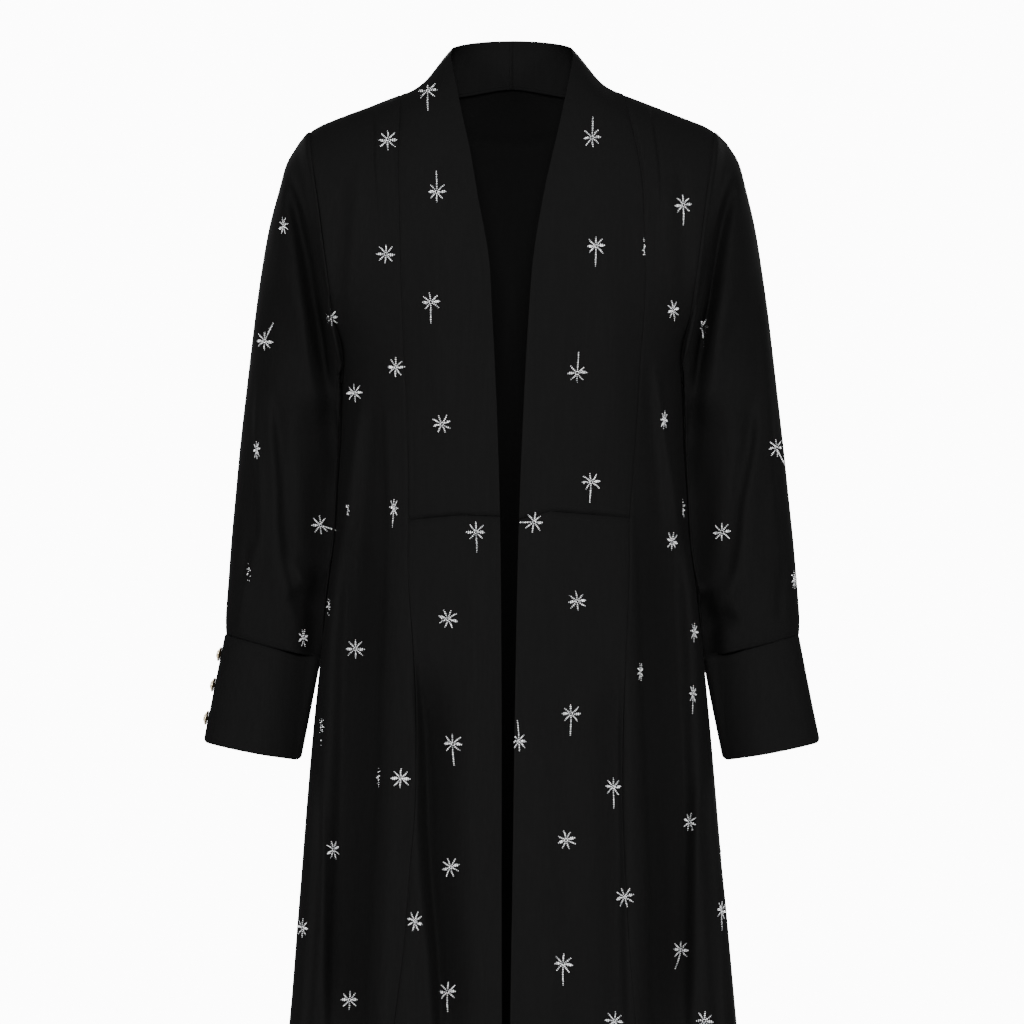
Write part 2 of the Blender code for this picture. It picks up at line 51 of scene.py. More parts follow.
# Form of the cloak, as it is cut and hung. Sizes in metres, shares and rises from 0 to 1, the
# tables in millimetres.
SEAM_GAP = 0.2 * MM
SHELL = 1.2 * MM
HEM_Z = -1390 * MM
WAIST_Z = -431 * MM
UNDERARM_Z = -295 * MM
SHOULDER_NECK_X = 115 * MM
SHOULDER_NECK_Z = 5.5 * MM
SHOULDER_FALL = 0.39
SHOULDER_ROUNDING = 20 * MM
SHOULDER_POWER = 4
SHOULDER_TIP = (195 * MM, 213 * MM)
SHOULDER_TIP_DROP = 2.4 * MM
ARMHOLE_HALF_DEPTH = 80 * MM
ARMHOLE_FOOT_SHARE = 0.35
ARMHOLE_FOOT_RISE = 0.45
ARMHOLE_BLEND = 0.25
BACK_NECK_DROP = 0.072
BACK_NECK_SHARE = 0.513
BACK_NECK_RISE = (0.4, 1)
COLLAR_HALF_WIDTH = 64.5 * MM
COLLAR_BACK_Y = 52 * MM
COLLAR_SIDE_Y = 2 * MM
COLLAR_SIDE_Z = 52.5 * MM
COLLAR_BACK_Z = 67.5 * MM
COLLAR_HOLLOW = 3.6 * MM
COLLAR_HOLLOW_RISE = (0.9, 1)
COLLAR_BACK_FLATNESS = 0.6
SAG_SCALE = 27 / 4
BAND_CROWN = 4 * MM
FREE_EDGE_RISE = 0.95
TURN_UP_BLEND = (0.6, 0.97)
PLEAT_SHARES = (0, 0.06)
PLEAT_END_SHARES = (0.23, 0.27)
PLEAT_HEIGHT = 2.5 * MM
PLEAT_FADE_Z = (-150 * MM, -60 * MM)
PLEAT_FLAT_RISE = (0.96, 1)
BODY_CLEARANCE = 4 * MM
HIGHEST_RISE = 0.99
FOLD_POWER = 1.25

# How often a seam's place and height are worked out from each other.
SEAM_PASSES = 4

# Sections of the body: height, half width, depth in front, depth behind.
BODY_COLUMNS = ("height", "half_width", "front", "back")
BODY_SECTIONS = (
    (-1390, 270.0, 166, 176),
    (-1250, 258.0, 158, 166),
    (-1100, 245.0, 149, 154),
    (-956, 231.5, 140, 142),
    (-850, 222.8, 133, 132),
    (-785, 216.8, 129, 126),
    (-704, 209.6, 124, 119),
    (-630, 203.0, 120, 113),
    (-560, 195.9, 116, 108),
    (-505, 189.8, 114, 105),
    (-450, 182.5, 112, 102),
    (-400, 179.5, 112, 102),
    (-345, 176.5, 113, 103),
    (-295, 176.0, 112, 104),
)
ARMHOLE_COLUMNS = ("rise", "half_width")
ARMHOLE_SECTIONS = (
    (0.00, 176.0),
    (0.16, 180.0),
    (0.32, 184.5),
    (0.50, 190.5),
    (0.70, 197.5),
    (0.87, 204.5),
    (1.00, 209.0),
)
SEAM_COLUMNS = ("height", "right", "left")
FRONT_SEAMS = (
    (-1390, 136.4, 142.2),
    (-1125, 125.6, 131.4),
    (-940, 116.3, 123.1),
    (-866, 108.5, 116.4),
    (-793, 103.0, 112.7),
    (-731, 97.6, 110.8),
    (-670, 95.7, 111.0),
    (-596, 96.9, 113.6),
    (-549, 100.1, 116.2),
    (-486, 105.2, 119.3),
    (-431, 105.3, 120.0),
    (-382, 105.4, 124.3),
    (-322, 107.5, 128.9),
    (-263, 110.4, 131.7),
    (-222, 111.5, 134.7),
    (-172, 112.6, 135.0),
    (-134, 113.4, 133.9),
    (-97, 114.6, 132.6),
    (-62, 115.7, 128.1),
    (-32, 114.8, 122.1),
    (4, 115.0, 115.0),
)
FREE_EDGES = (
    (-1390, 9.2, -2.5),
    (-933, 10.0, -1.9),
    (-816, 10.3, 0.0),
    (-615, 10.6, 3.0),
    (-504, 11.1, 5.1),
    (-430, 12.1, 7.0),
    (-354, 14.1, 10.1),
    (-223, 20.1, 17.1),
    (-172, 23.1, 21.1),
    (-104, 35.1, 32.2),
    (-49, 44.0, 43.5),
    (3, 54.2, 53.1),
    (46, 62.6, 63.4),
)
TURN_UP_COLUMNS = ("rise", "half_width", "front", "height")
TURN_UP = (
    (0.60, 36.0, 105.0, -104),
    (0.70, 42.0, 96.0, -69),
    (0.80, 49.0, 83.0, -34),
    (0.90, 55.5, 61.0, 2),
    (0.97, 61.2, 34.0, 31),
    (1.00, 64.0, 15.0, 46),
)

# Hanging folds of the skirt: turn, half turn, start height and depth at the hem.
SKIRT_FOLDS = (
    (-75, 7, -520, -11),
    (-60, 6, -560, 13),
    (-46, 7, -470, -15),
    (-33, 6, -450, 15),
    (-20, 7, -480, -11),
    (-9, 5, -620, 5),
    (9, 5, -620, 5),
    (19, 6, -500, -9),
    (31, 6, -440, 14),
    (46, 8, -470, -16),
    (60, 6, -560, 13),
    (76, 7, -540, -11),
    (101, 7, -500, 12),
    (114, 7, -480, -13),
    (127, 7, -430, 16),
    (141, 7, -450, -14),
    (156, 8, -500, 14),
    (171, 8, -470, -15),
    (187, 8, -440, 16),
    (202, 8, -480, -13),
    (216, 7, -430, 15),
    (231, 7, -460, -14),
    (245, 7, -500, 14),
    (258, 6, -520, -11),
)

# Soft waves of the upper body: turn, half turn, low and high ends, depth.
BODY_WAVES = (
    (-66, 7, -560, -300, 4.0),
    (-52, 8, -540, -250, -3.0),
    (66, 7, -540, -290, 4.0),
    (52, 8, -560, -240, -3.0),
    (126, 9, -620, -240, -4.0),
    (150, 10, -560, -260, 3.0),
    (211, 10, -600, -250, 3.0),
    (236, 9, -620, -230, -4.0),
)

# Rings of the sleeve: outer point and point beside the body, half depth, how far back.
SLEEVE_RINGS = (
    (222.5, -43, 171, -297, 83, 20),
    (235.5, -63, 170, -308, 81, 28),
    (243.5, -91, 170, -323, 78, 33),
    (253, -130, 172, -342, 75, 34),
    (261, -175, 171, -360, 71, 40),
    (268, -222, 170, -379, 67, 43),
    (274, -270, 169, -399, 64, 45),
    (279.5, -318, 169, -422, 61, 46),
    (284.5, -364, 170, -448, 59, 46),
    (289, -410, 173, -476, 57, 45),
    (293.5, -455, 178, -506, 55, 43),
    (297, -498, 184, -537, 50, 40),
    (299.5, -532, 191, -561, 43, 36),
    (299.5, -548, 197, -573, 36.5, 32),
)
CUFF_ENDS = (
    (299, -554, 198.5, -579, 33, 31),
    (321, -665, 220, -685, 34, 21),
)
CUFF_HALF_WIDTH = 51 * MM
CUFF_CORNER = 6 * MM
CUFF_CORNER_SHARE = 0.16
SLEEVE_STRIP = 3 * MM
SLEEVE_HEAD_FALL = 0.72
CAP_SHARES = (0.25, 0.5, 0.75)
ROLL_SHARES = (0.35, 0.7, 1.0)
SLEEVE_CENTRE = (0.235, 0.035)
CUFF_CENTRE = (0.257, 0.026)
BODY_CENTRE = np.array((0.0, 0.0))

# Buttons on each cuff: shares of its length, and degrees from its outer edge to the back.
BUTTON_SHARES = (0.19, 0.477, 0.785)
BUTTON_ANGLES = {"right": 4, "left": 62}
BUTTON_RADIUS = 7.6 * MM
BUTTON_HEIGHT = 5.2 * MM
BUTTON_SIDES = 96

# Rings of a button from the top of its dome to its shank: radius and height as shares of the
# button's, depth of the flutes, and 1 where the metal is dark. The first nine rings have eight
# flutes and the rim below them twenty-four beads.
BUTTON_RINGS = (
    (0.00, 1.00, 0.00, 0), (0.10, 0.99, 0.00, 0), (0.16, 0.93, 0.02, 1), (0.22, 0.96, 0.05, 0),
    (0.34, 0.92, 0.09, 0), (0.48, 0.83, 0.12, 0), (0.60, 0.71, 0.10, 0), (0.70, 0.58, 0.05, 0),
    (0.75, 0.46, 0.00, 1), (0.79, 0.44, 0.00, 1), (0.83, 0.50, 0.03, 0), (0.90, 0.50, 0.10, 0),
    (0.97, 0.42, 0.10, 0), (1.00, 0.32, 0.06, 0), (0.97, 0.22, 0.02, 1), (0.86, 0.16, 0.00, 1),
    (0.32, 0.14, 0.00, 1), (0.30, 0.00, 0.00, 1), (0.00, 0.00, 0.00, 1),
)
DOME_RINGS = 9
DOME_FLUTES = 8
RIM_BEADS = 24

# Creases seen from the front: height over the cloth, half width on the line's left and on its
# right, and the line's points from the top down, as (column, row) pixels of the photograph.
# Troughs have a negative height.
FRONT_CREASES = (
    (3.5, 4, 9, ((364, 380), (359, 412), (353, 466), (346, 520), (341, 560))),
    (-4.0, 8, 8, ((372, 400), (366, 466), (362, 530), (358, 600))),
    (3.0, 3, 8, ((386, 405), (387, 433), (389, 500), (390, 545))),
    (8.0, 4, 22, (
        (391, 510), (388, 600), (385, 661), (382, 724), (380, 792), (376, 855), (372, 949), (367, 1080))),
    (-34.0, 12, 32, ((352, 480), (348, 600), (344, 724), (340, 855), (336, 949), (334, 1080))),
    (4.0, 14, 4, ((404, 580), (413, 668), (418, 762), (416, 829), (420, 893), (427, 960), (432, 1080))),
    (-27.0, 6, 24, ((416, 640), (422, 700), (426, 762), (428, 829), (432, 893), (438, 960), (444, 1080))),
    (-3.0, 6, 6, ((410, 850), (404, 911), (398, 968), (392, 1080))),
    (5.0, 5, 4, ((324, 735), (322, 773), (323, 874), (325, 1080))),
    (-4.0, 5, 6, ((314, 745), (310, 874), (303, 1060))),
    (2.5, 8, 10, ((351, 500), (342, 580), (334, 660))),
    (3.5, 6, 4, ((655, 350), (660, 400), (667, 450), (675, 500), (680, 560))),
    (-4.0, 8, 6, ((649, 360), (653, 420), (659, 480), (663, 540))),
    (8.0, 18, 4, ((631, 490), (634, 575), (638, 687), (642, 799), (646, 912), (649, 1080))),
    (-36.0, 34, 12, ((672, 480), (675, 600), (681, 724), (684, 799), (683, 912), (682, 1080))),
    (-12.0, 20, 7, ((617, 640), (616, 720), (617, 800), (618, 860), (618, 930), (622, 1080))),
    (-2.5, 14, 14, ((560, 660), (562, 800), (566, 960))),
    (5.0, 4, 5, ((701, 750), (698, 796), (695, 874), (692, 1080))),
    (2.5, 10, 8, ((690, 540), (698, 620), (704, 690))),
    (2.2, 12, 12, ((470, 550), (474, 700), (468, 880))),
    (-2.4, 14, 14, ((488, 620), (488, 760), (490, 900))),
    (1.6, 4, 4, ((543, 510), (566, 508), (584, 512))),
    (-1.4, 3, 3, ((544, 514), (590, 517), (630, 522))),
    (1.4, 4, 4, ((418, 514), (446, 509), (478, 511))),
    (-1.2, 4, 4, ((414, 524), (440, 521), (466, 520))),
    (1.8, 14, 14, ((438, 216), (436, 310), (434, 420))),
    (-1.6, 14, 14, ((466, 260), (468, 340), (470, 460))),
    (-1.8, 12, 12, ((580, 206), (586, 310), (590, 420))),
    (1.8, 14, 14, ((612, 196), (614, 310), (612, 460))),
    (2.4, 7, 7, ((359, 158), (357, 206), (351, 274), (346, 330))),
    (-2.4, 8, 8, ((342, 168), (340, 235), (338, 300))),
    (2.2, 8, 8, ((666, 168), (668, 235), (674, 310))),
    (-2.2, 7, 7, ((680, 158), (684, 225), (686, 290))),
)

# Creases seen from behind, with their lines' (x, z) points in millimetres.
BACK_CREASES = (
    (3.5, 9, 9, ((-120, -230), (-128, -340), (-132, -460), (-136, -560))),
    (-4.0, 9, 9, ((-150, -250), (-156, -360), (-158, -470))),
    (3.0, 10, 10, ((96, -200), (104, -330), (112, -470))),
    (-3.5, 9, 9, ((140, -240), (150, -350), (152, -480))),
    (2.5, 12, 12, ((-30, -190), (-34, -330), (-40, -480))),
    (-2.5, 12, 12, ((24, -220), (30, -360), (30, -520))),
    (-3.0, 8, 8, ((-182, -70), (-150, -120), (-118, -150))),
    (-3.0, 8, 8, ((182, -70), (156, -110), (124, -136))),
    (2.0, 8, 8, ((-174, -100), (-140, -150), (-108, -176))),
    (2.0, 8, 8, ((172, -98), (146, -140), (116, -162))),
    (1.6, 6, 6, ((-60, -28), (-30, -36), (10, -38), (52, -30))),
)

# Creases of the sleeves seen from the front, in the same pixels, and then those behind.
SLEEVE_CREASES = {
    "right": (
        (-32.0, 8, 6, ((287, 164), (302, 234), (309, 269), (315, 310), (320, 350), (328, 400))),
        (-17.0, 9, 9, ((315, 295), (321, 335), (327, 380), (331, 420), (335, 455), (338, 505))),
        (6.0, 16, 4, ((267, 385), (271, 440), (275, 485), (277, 530), (281, 565), (291, 600), (298, 640))),
        (-6.0, 4, 10, ((275, 385), (280, 440), (284, 485), (286, 530), (291, 565), (300, 600))),
        (-24.0, 26, 14, ((317, 390), (322, 440), (325, 490), (325, 540), (322, 590))),
        (8.0, 6, 8, ((290, 548), (297, 572), (308, 583), (320, 578), (334, 560))),
        (-12.0, 9, 9, ((291, 588), (303, 602), (318, 604), (334, 590))),
        (-36.0, 12, 20, ((322, 560), (319, 595), (317, 625), (318, 665))),
        (4.5, 3, 7, (
            (258, 370), (255, 430), (256, 460), (259, 498), (260, 534), (250, 564), (241, 605), (236, 640))),
        (-3.5, 5, 5, ((247, 538), (246, 560), (248, 590))),
    ),
    "left": (
        (-32.0, 6, 8, ((737, 162), (720, 234), (714, 269), (708, 313), (703, 350), (696, 400))),
        (-17.0, 9, 9, ((708, 295), (702, 345), (697, 380), (693, 420), (689, 455), (686, 505))),
        (6.0, 4, 16, ((761, 385), (758, 444), (746, 503), (741, 550), (734, 586), (726, 636))),
        (-7.0, 10, 4, ((752, 390), (749, 444), (738, 503), (733, 550), (725, 590))),
        (-24.0, 14, 26, ((706, 390), (701, 440), (699, 490), (699, 540), (702, 600))),
        (8.0, 8, 6, ((735, 572), (724, 597), (713, 605), (700, 598), (691, 576))),
        (-12.0, 9, 9, ((736, 610), (722, 622), (706, 624), (692, 608))),
        (-36.0, 20, 12, ((702, 585), (706, 618), (707, 645), (706, 680))),
        (3.5, 7, 4, ((764, 280), (768, 380), (772, 460), (776, 550))),
        (-3.0, 5, 5, ((785, 555), (781, 590), (779, 625))),
    ),
}
CUFF_CREASES = {
    "right": ((-11.0, 22, 10, ((312, 600), (306, 660), (299, 710), (288, 800))),),
    "left": ((-11.0, 10, 22, ((712, 600), (718, 660), (725, 710), (736, 800))),),
}
SLEEVE_BACK_CREASES = (
    (-6.0, 9, 9, ((214, -130), (226, -220), (232, -320), (230, -420))),
    (4.0, 10, 10, ((240, -200), (248, -300), (250, -400), (244, -480))),
    (-5.0, 8, 8, ((206, -400), (216, -460), (226, -520), (232, -556))),
    (4.5, 8, 8, ((196, -460), (212, -500), (240, -520), (270, -516))),
    (-4.0, 6, 6, ((200, -506), (220, -528), (250, -538), (280, -532))),
    (-2.5, 5, 5, ((262, -500), (258, -530), (256, -556))),
)

# Share of the hollow behind a crease that it may take up, the shares of its length where it
# rises and fades, and how it fades where the cloth turns to the side.
CREASE_SHARE = 0.75
CREASE_RISE = (0, 0.22)
CREASE_FADE = (0.8, 1)
CREASE_FACING = (0.35, 1.6)

# Slight unevenness of the cloth: how many waves, how fast they usually run along each axis in
# radians a metre, the range of their start and how deep they are.
WAVE_COUNT = 7
WAVE_RATES = (34, 34, 13)
WAVE_START = 6.28
BODY_WAVE = 0.5 * MM
SLEEVE_WAVE = 0.7 * MM
CUFF_WAVE = 0.4 * MM

# Seeds of the waves, each one more on the left.
WAVE_SEEDS = {"back": 11, "side_front": 21, "band": 31, "lower_front": 41, "sleeve": 51, "cuff": 61}

# The photograph's frame: one pixel at the cloak's own plane, and the picture's middle.
PIXEL = 1.035 * MM
FRAME_PIXELS = 1024
ZERO_COLUMN = 512
ZERO_ROW = 100
CAMERA_AWAY = 4.0
CAMERA_Z = (ZERO_ROW - FRAME_PIXELS / 2) * PIXEL
SENSOR = 36.0

# Beaded motifs in the photograph's pixels: column, row, the degrees of the stem, with 90 upward,
# or None for a star with no stem, and the share of its width that shows where the cloth turns.
SEEN_MOTIFS = (
    (428, 91, -90, 1), (388, 140, None, 1), (437, 192, 92, 0.95), (284, 226, None, 0.5),
    (386, 254, None, 0.95), (431, 302, -90, 1), (331, 318, None, 0.8), (265, 341, 62, 0.9),
    (396, 367, None, 0.85), (355, 393, None, 0.8), (442, 424, None, 1), (257, 450, None, 0.35),
    (320, 525, -18, 1), (394, 508, -100, 0.45), (348, 508, None, 0.16), (476, 532, -88, 1),
    (249, 572, None, 0.2), (448, 619, None, 1), (329, 607, None, 0.18), (303, 638, None, 0.5),
    (356, 649, None, 1), (322, 727, -95, 0.28), (453, 744, -86, 1), (401, 778, None, 1),
    (379, 777, None, 0.2), (333, 850, None, 0.7), (451, 867, None, 0.95), (415, 921, None, 0.8),
    (303, 928, None, 0.55), (350, 1000, None, 0.95), (448, 992, -90, 0.95), (592, 138, 88, 0.95),
    (596, 246, -92, 1), (683, 205, -90, 0.9), (644, 248, None, 0.16), (673, 310, None, 0.65),
    (701, 327, -80, 0.9), (577, 373, 86, 1), (664, 420, None, 0.35), (776, 448, -58, 0.8),
    (591, 482, -94, 1), (534, 522, 180, 1), (722, 532, None, 1), (672, 541, None, 0.6),
    (577, 601, None, 1), (683, 508, None, 0.16), (794, 580, None, 0.3), (694, 632, None, 0.4),
    (640, 672, None, 0.3), (571, 714, -92, 1), (693, 694, -94, 0.35), (519, 741, 96, 0.75),
    (613, 787, -88, 0.85), (566, 840, None, 1), (690, 822, None, 0.65), (625, 897, None, 0.95),
    (721, 911, -86, 0.45), (681, 950, -110, 0.9), (563, 964, -90, 1), (614, 1021, None, 0.95),
    (704, 1021, None, 0.95),
)

# A motif's own sizes: eight petals, every fourth one a broader leaf, and one of them a long
# stem where it has one. Angles in degrees.
PETALS = 8
PETAL_STEP = 45
LEAF_EVERY = 4
STAR_TILT = 22
PALM_TILT = 7
PETAL_TILT = 5
STAR_START = 1.8 * MM
PETAL_REACH = 9.6 * MM
LEAF_SHORTER = 0.5 * MM
STEM_REACH = 20.5 * MM
PETAL_BEND = 0.5 * MM
LEAF_HALF_GAP = 0.7 * MM
LEAST_HALF_GAP = 0.35 * MM
LEAF_POWER = 1.5

# Ranges as shares: where a petal starts, its length and a stem's, and how full its leaf is.
START_RANGE = (0.6, 1.2)
LENGTH_RANGE = (0.88, 1.06)
STEM_RANGE = (0.94, 1.04)
LEAF_FULLNESS = (0.8, 1.1)
PETAL_FULLNESS = (0.0, 0.0, 0.45)

# Seed beads: pitch along a row and radius, then in radii the half length, the rings with their
# places along the hole, and how high a bead's middle lies over the cloth.
BEAD_PITCH = 1.75 * MM
BEAD_RADIUS = 0.93 * MM
BEAD_SIDES = 6
BEAD_END = 0.62
BEAD_RINGS = ((-0.55, 0.62), (0.0, 1.0), (0.55, 0.62))
BEAD_REST = 0.72

# Sizes of the beads of one petal, in radii: the least, what the swell along the row adds and
# what a full leaf adds.
LEAST_BEAD = 0.62
BEAD_SWELL = 0.42
LEAF_SWELL = 0.1

# Part of a half turn at which the swell starts, what the row adds to it, and its power.
SWELL_SPAN = (0.12, 0.8)
SWELL_POWER = 1.2

# Unevenness of all beads, and their size in a motif that shows almost edge on.
BEAD_RANGE = (0.92, 1.08)
SIDEWAYS_BEAD = 0.6

# How far from a motif's middle its beads may land, as a length and as shares of their place
# for a motif that the photograph shows and for one that it hides, and how high over the cloth
# the beads of a hidden one are dropped from.
REACH_SLACK = 3 * MM
SEEN_REACH = 1.8
UNSEEN_REACH = 1.3
MOTIF_LIFT = 15 * MM

# Motifs that show less than this share of their width lose this share of their beads.
NEARLY_HIDDEN = 0.3
HIDDEN_SHARE = 0.6

# Scatter where the photograph does not reach: steps across and down, unevenness, columns, stems
# and the share of motifs that may have one, how squarely the cloth has to face, the distances
# kept from the hem and from the photograph's edge, and the top row of the back.
HIDDEN_SPACING = (86 * MM, 74 * MM)
HIDDEN_JITTER = 11 * MM
HIDDEN_COLUMNS = range(-4, 5)
HIDDEN_STEMS = (None, None, -90, 90, None, -90)
HIDDEN_STEM_SHARE = 0.8
HIDDEN_FACING = 0.3
HEM_MARGIN = 25 * MM
FRAME_MARGIN = 30 * MM
BACK_TOP_Z = 30 * MM
MOTIF_SEED = 5

# Rows and columns of the fine shells, the shares of the columns close beside a seam, and the
# angles of the columns round a sleeve.
ARMHOLE_ROWS = 56
WAIST_ROWS = 22
SKIRT_ROWS = 136
SLEEVE_ROWS = 92
CUFF_ROWS = 34
SIDE_COLUMNS = 66
LOWER_COLUMNS = 42
BAND_COLUMNS = 18
BACK_COLUMNS = 30
NECK_COLUMNS = 32
RING_COLUMNS = 140
EDGE_SHARES = (0, 0.006, 0.016, 0.03)
RING_ANGLES = np.linspace(0, 2 * math.pi, RING_COLUMNS + 1)[:-1]

# Cloth drawn in beside a seam: how deep, how deep on a cuff, and how far out it reaches.
SEAM_DIP = 0.45 * MM
CUFF_DIP = 0.27 * MM
DIP_REACH = 1.5 * MM

# Lift of the waist seam across the front, in millimetres, and how far up and down it fades.
WAIST_ARCH = (
    (-107, -3.5), (-84, -1.5), (-53, 1.5), (-12, 0.5), (7, -3.5), (38, 5.5), (64, 3.5), (95, 1.0),
    (122, -1.5),
)
WAIST_ARCH_REACH = 34 * MM

# Seam allowances turned under: how far they reach, the share of it where they turn, and how
# deep below the face they lie there and at their end.
TUCK_REACH = 3.2 * MM
TUCK_TURN = 0.12
TUCK_DROPS = (1.35 * MM, 1.6 * MM)

# Light of the surroundings, and of the bright ground behind the cloak within these degrees.
SKY_STRENGTH = 0.4
GROUND_STRENGTH = 12.0
GROUND_EDGE = (14, 27)

# Soft lights: name, place, the point that each one faces, width and watts.
LIGHTS = (
    ("front", (0.0, -3.7, 0.8), (0, 0, -0.5), 0.9, 285),
    ("front_left", (-2.5, -2.9, 0.6), (0, 0, -0.5), 1.1, 92),
    ("front_right", (2.5, -2.9, 0.6), (0, 0, -0.5), 1.1, 92),
    ("top", (0.0, -0.6, 2.6), (0, 0, -0.4), 1.6, 10),
    ("back_left", (-2.2, 3.0, 0.7), (0, 0, -0.5), 1.6, 90),
    ("back_right", (2.2, 3.0, 0.7), (0, 0, -0.5), 1.6, 90),
)

# Floor: how far under the hem it lies, its radius and its sides.
FLOOR_DROP = 0.02
FLOOR_RADIUS = 2.2
FLOOR_SIDES = 96


def column(names, table, name):
    """One named column of a table, as numbers."""
    at = names.index(name)
    return np.array([row[at] for row in table], dtype=float)


def curve_through(xs, ys, at):
    """Smooth curve through the points, held level beyond its ends."""
    at = np.clip(np.asarray(at, dtype=float), xs[0], xs[-1])
    slopes = np.gradient(ys, xs)
    i = np.clip(np.searchsorted(xs, at, side="right") - 1, 0, len(xs) - 2)
    span = xs[i + 1] - xs[i]
    t = (at - xs[i]) / span
    rise = ys[i + 1] - ys[i]
    a = slopes[i] * span - rise
    b = rise - slopes[i + 1] * span
    return ys[i] + t * rise + t * (1 - t) * (a * (1 - t) + b * t)


def read(names, table, name, at):
    """Value of a named column at a place in the table's first column."""
    xs = column(names, table, names[0])
    return curve_through(xs, column(names, table, name), at)


def ease(low, high, at):
    """Smooth rise from 0 at low to 1 at high."""
    t = np.clip((at - low) / (high - low), 0, 1)
    return t * t * (3 - 2 * t)


def body_size(name, z):
    """A column of the body's sections at a height, in metres."""
    return read(BODY_COLUMNS, BODY_SECTIONS, name, np.asarray(z) / MM) * MM


def body_depth(ahead, z):
    """Depth of the body at a height, in front where ahead is true and behind elsewhere."""
    return np.where(ahead, body_size("front", z), body_size("back", z))


def side_sign(side):
    """+1 on the wearer's left, -1 on the right."""
    return 1 if side == "left" else -1


def shoulder_line(x):
    """Height of the shoulder seam above a place across the body."""
    rounded = np.sqrt(x * x + SHOULDER_ROUNDING**2)
    at_neck = math.hypot(SHOULDER_NECK_X, SHOULDER_ROUNDING)
    tip = SHOULDER_TIP_DROP * ease(*SHOULDER_TIP, np.abs(x))
    return SHOULDER_NECK_Z - SHOULDER_FALL * (rounded - at_neck) - tip


def armhole_narrowing(rise):
    """How much of the ellipse's depth the armhole keeps towards its foot."""
    return ARMHOLE_FOOT_SHARE + (1 - ARMHOLE_FOOT_SHARE) * ease(0, ARMHOLE_FOOT_RISE, rise)


def armhole_share(rise, depth):
    """Depth of the armhole as a share of the body's depth at the same level."""
    powers = sum(rise**power for power in range(SHOULDER_POWER))
    return 2 * ARMHOLE_HALF_DEPTH / depth * np.sqrt(rise / powers) * armhole_narrowing(rise)


def armhole_reach(rise, depth):
    """Half width that the body's section would have at a level beside the armhole."""
    side = body_size("half_width", UNDERARM_Z)
    wide = read(ARMHOLE_COLUMNS, ARMHOLE_SECTIONS, "half_width", rise) * MM
    wide = wide / np.sqrt(1 - armhole_share(rise, depth) ** 2)
    return side + (wide - side) * ease(0, ARMHOLE_BLEND, rise)


def armhole_half_width(rise, depth):
    """Distance of the armhole seam from the middle of the body."""
    return armhole_reach(rise, depth) * np.sqrt(1 - armhole_share(rise, depth) ** 2)


def armhole_turn(rise, name):
    """Angle of the armhole seam from the middle of the front, or of the back."""
    return np.arccos(armhole_share(rise, body_size(name, UNDERARM_Z)))


def turned_by(degrees, at):
    """Degrees from one direction to another, between half a turn back and half a turn on."""
    return (degrees - at + 180) % 360 - 180


def folds(turn, z):
    """How far the hanging folds and waves stand out of the plain section."""
    degrees = np.degrees(turn)
    total = np.zeros(np.broadcast(degrees, z).shape)
    for at, half, start, depth in SKIRT_FOLDS:
        away = turned_by(degrees, at)
        drop = np.clip((start * MM - z) / (start * MM - HEM_Z), 0, 1)
        total = total + depth * MM * drop**FOLD_POWER * np.exp(-((away / half) ** 2))
    for at, half, low, high, depth in BODY_WAVES:
        away = turned_by(degrees, at)
        share = np.clip((z / MM - low) / (high - low), 0, 1)
        total = total + depth * MM * np.sin(math.pi * share) ** 2 * np.exp(-((away / half) ** 2))
    return total


def body_point(turn, level):
    """Point of the body's outer face at an angle from the middle of the front and a level."""
    turn = np.asarray(turn, dtype=float)
    rise = np.clip(level, 0, 1)
    z_low = UNDERARM_Z + np.minimum(level, 0)
    depth_low = body_depth(np.cos(turn) > 0, z_low)
    depth = depth_low * np.sqrt(1 - rise**SHOULDER_POWER)
    reach = np.where(rise > 0, armhole_reach(rise, depth_low), body_size("half_width", z_low))
    x = reach * np.sin(turn)
    y = -depth * np.cos(turn)
    z = z_low + rise * (shoulder_line(x) - UNDERARM_Z)
    out = folds(turn, z)
    length = np.hypot(np.sin(turn) / reach, np.cos(turn) / depth_low)
    x = x + out * np.sin(turn) / reach / length
    y = y - out * np.cos(turn) / depth_low / length
    return np.stack(np.broadcast_arrays(x, y, z), axis=-1)


def turn_at(table, side, level):
    """Angle where a front seam or free edge crosses a level."""
    rise = max(level, 0)
    z = UNDERARM_Z + min(level, 0)
    x = 0.0
    for _ in range(SEAM_PASSES):
        x = float(read(SEAM_COLUMNS, table, side, z / MM)) * MM
        z = UNDERARM_Z + min(level, 0) + rise * (float(shoulder_line(x)) - UNDERARM_Z)
    if rise > 0:
        reach = float(armhole_reach(rise, body_size("front", UNDERARM_Z)))
    else:
        reach = float(body_size("half_width", z))
    return side_sign(side) * math.asin(x / reach)


def upper_levels():
    """Levels from the shoulder to the waist."""
    beside_arm = [(1 + math.cos(math.pi * step / ARMHOLE_ROWS)) / 2 for step in range(ARMHOLE_ROWS + 1)]
    return beside_arm + list(np.linspace(0, WAIST_Z - UNDERARM_Z, WAIST_ROWS + 1)[1:])


def lower_levels():
    """Levels from the waist to the hem."""
    return list(np.linspace(WAIST_Z - UNDERARM_Z, HEM_Z - UNDERARM_Z, SKIRT_ROWS + 1))


def spread(count):
    """Column shares from seam to seam, close together beside each seam."""
    middle = np.linspace(EDGE_SHARES[-1], 1 - EDGE_SHARES[-1], count)[1:-1]
    return np.concatenate((EDGE_SHARES, middle, 1 - np.array(EDGE_SHARES[::-1])))


def pleat(share, z):
    """Height of the pressed pleat over the side front."""
    rise = ease(*PLEAT_SHARES, share) * (1 - ease(*PLEAT_END_SHARES, share))
    return PLEAT_HEIGHT * rise * ease(*PLEAT_FADE_Z, z)


